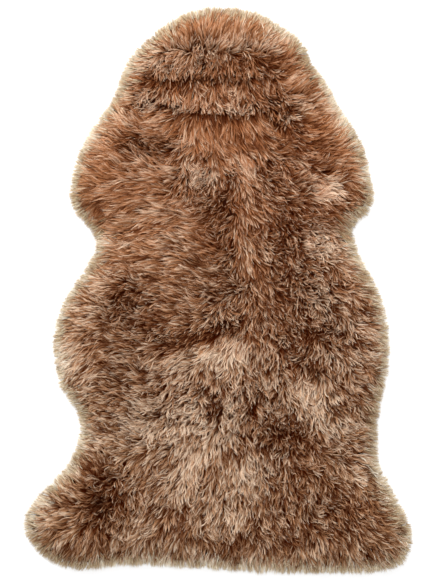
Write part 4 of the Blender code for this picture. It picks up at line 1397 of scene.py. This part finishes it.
class SHEEPSKIN_OT_lay_hide(bpy.types.Operator):
    """Lay the tanned skin flat on the floor"""
    bl_idname = "sheepskin.lay_hide"
    bl_label = "Lay Hide"

    def execute(self, context):
        sizes, colours = context.scene.sheepskin_sizes, context.scene.sheepskin_colours
        form = wool_form()
        ring = form.ring(sizes.hide_inset, HIDE_CORNERS)
        inner = staggered_places(
            form, HIDE_NET, HIDE_NET_SHAKE, sizes.hide_inset + HIDE_NET_INSET, ANYWHERE, SEEDS["hide net"])
        mesh = net_mesh("hide", ring, inner, lambda p: np.full(len(p), sizes.hide_thickness), 0.0)
        hide = add_piece(mesh, hide_material(colours))
        join_frame(hide)
        return {"FINISHED"}


class SHEEPSKIN_OT_fill_underwool(bpy.types.Operator):
    """Fill the rug's form with dense underwool"""
    bl_idname = "sheepskin.fill_underwool"
    bl_label = "Fill Underwool"

    def execute(self, context):
        sizes, colours = context.scene.sheepskin_sizes, context.scene.sheepskin_colours
        form = wool_form()
        ring = form.ring(sizes.underwool_inset, UNDERWOOL_CORNERS)
        inner = staggered_places(
            form, UNDERWOOL_NET, UNDERWOOL_NET_SHAKE, sizes.underwool_inset + UNDERWOOL_NET_INSET, ANYWHERE,
            SEEDS["underwool net"])
        low = sizes.hide_thickness + UNDERWOOL_GAP

        def top(points):
            away = form.at(form.from_rim, points) - sizes.underwool_inset
            rise = ramp(away, 0, UNDERWOOL_SLOPE) ** UNDERWOOL_ROUNDING
            full = form.at(form.height, points) * sizes.underwool_share + clouds("underwool lumps", points)
            return low + np.maximum(full - low, UNDERWOOL_LEAST) * rise + UNDERWOOL_EDGE

        mesh = net_mesh("underwool", ring, inner, top, low)
        join_frame(add_piece(mesh, underwool_material(colours)))
        return {"FINISHED"}


class SHEEPSKIN_OT_grow_fleece(bpy.types.Operator):
    """Grow and comb the long wool, in stretches from the neck to the tail"""
    bl_idname = "sheepskin.grow_fleece"
    bl_label = "Grow Fleece"

    def execute(self, context):
        sizes, colours = context.scene.sheepskin_sizes, context.scene.sheepskin_colours
        form = wool_form()
        material = wool_material(colours)
        locks = staggered_places(
            form, sizes.lock_pitch, FLEECE_SHAKE, sizes.rim_band * FLEECE_START, ANYWHERE,
            SEEDS["fleece locks"])
        fore = math.inf
        for seed, (name, hind, count, bends) in enumerate(STRETCHES, start=SEEDS["fleece"]):
            here = locks[(locks[:, 1] <= fore) & (locks[:, 1] > hind * MM)]
            fore = hind * MM
            strands = comb_strands(form, here, count, WISP, sizes, False, seed)
            join_frame(grown_strands(name, strands, bends, material))
        return {"FINISHED"}


class SHEEPSKIN_OT_grow_rim(bpy.types.Operator):
    """Grow the fine pale wool round the rim"""
    bl_idname = "sheepskin.grow_rim"
    bl_label = "Grow Rim Wool"

    def execute(self, context):
        sizes, colours = context.scene.sheepskin_sizes, context.scene.sheepskin_colours
        form = wool_form()
        locks = staggered_places(
            form, sizes.rim_pitch, RIM_SHAKE, RIM_START, sizes.rim_band, SEEDS["rim locks"])
        strands = comb_strands(form, locks, RIM_COUNT, RIM_WISP, sizes, True, SEEDS["rim"])
        material = bpy.data.materials["combed_sheep_wool"]
        join_frame(grown_strands("rim_wool", strands, RIM_BENDS, material))
        return {"FINISHED"}


class SHEEPSKIN_OT_set_stage(bpy.types.Operator):
    """Set the pale floor, the soft lights and the camera straight above"""
    bl_idname = "sheepskin.set_stage"
    bl_label = "Set Stage"

    def execute(self, context):
        scene = context.scene
        half, level = FLOOR_HALF_WIDTH, -FLOOR_GAP
        mesh = bpy.data.meshes.new("floor")
        corners = [(-half, -half, level), (half, -half, level), (half, half, level), (-half, half, level)]
        mesh.from_pydata(corners, [], [(0, 1, 2, 3)])
        add_piece(mesh, floor_material())
        self.add_lights(scene)
        self.add_camera(scene)
        scene.view_settings.view_transform = "Standard"
        return {"FINISHED"}

    def add_lights(self, scene):
        for name, place, size, power in LIGHTS:
            light = bpy.data.lights.new(name, "AREA")
            light.shape = "SQUARE"
            light.size = size
            light.energy = power
            lamp = bpy.data.objects.new(name, light)
            lamp.location = place
            lamp.rotation_euler = (-Vector(place)).to_track_quat("-Z", "Y").to_euler()
            scene.collection.objects.link(lamp)
        world = bpy.data.worlds.new("studio")
        world.use_nodes = True
        background = world.node_tree.nodes["Background"]
        background.inputs["Color"].default_value = (1, 1, 1, 1)
        background.inputs["Strength"].default_value = WORLD_STRENGTH
        scene.world = world

    def add_camera(self, scene):
        """The rug fills the photograph's height as it does there, seen from straight above."""
        data = bpy.data.cameras.new("camera")
        data.lens = LENS_MM
        camera = bpy.data.objects.new("camera", data)
        across = (PHOTO_WIDTH_PX / 2 - RUG_MIDDLE_PX[0]) * PIXEL
        along = (RUG_MIDDLE_PX[1] - PHOTO_HEIGHT_PX / 2) * PIXEL
        camera.location = (across, along, PHOTO_HEIGHT_PX * PIXEL * data.lens / data.sensor_width)
        scene.collection.objects.link(camera)
        scene.camera = camera


class SHEEPSKIN_PT_panel(bpy.types.Panel):
    """The sheepskin's pieces, sizes and colours"""
    bl_idname = "SHEEPSKIN_PT_panel"
    bl_label = "Sheepskin Rug"
    bl_space_type = "VIEW_3D"
    bl_region_type = "UI"
    bl_category = "Sheepskin"

    def draw(self, context):
        for settings in (context.scene.sheepskin_sizes, context.scene.sheepskin_colours):
            for name in settings.__annotations__:
                self.layout.prop(settings, name)
        for step in STEPS:
            self.layout.operator(step.bl_idname)


STEPS = (
    SHEEPSKIN_OT_lay_hide,
    SHEEPSKIN_OT_fill_underwool,
    SHEEPSKIN_OT_grow_fleece,
    SHEEPSKIN_OT_grow_rim,
    SHEEPSKIN_OT_set_stage,
)
CLASSES = (SheepskinSizes, SheepskinColours, *STEPS, SHEEPSKIN_PT_panel)


def register():
    for kind in CLASSES:
        bpy.utils.register_class(kind)
    bpy.types.Scene.sheepskin_sizes = bpy.props.PointerProperty(type=SheepskinSizes)
    bpy.types.Scene.sheepskin_colours = bpy.props.PointerProperty(type=SheepskinColours)


def unregister():
    del bpy.types.Scene.sheepskin_colours
    del bpy.types.Scene.sheepskin_sizes
    for kind in reversed(CLASSES):
        bpy.utils.unregister_class(kind)


def main():
    register()
    bpy.ops.sheepskin.lay_hide()
    bpy.ops.sheepskin.fill_underwool()
    bpy.ops.sheepskin.grow_fleece()
    bpy.ops.sheepskin.grow_rim()
    bpy.ops.sheepskin.set_stage()


if __name__ == "__main__":
    main()
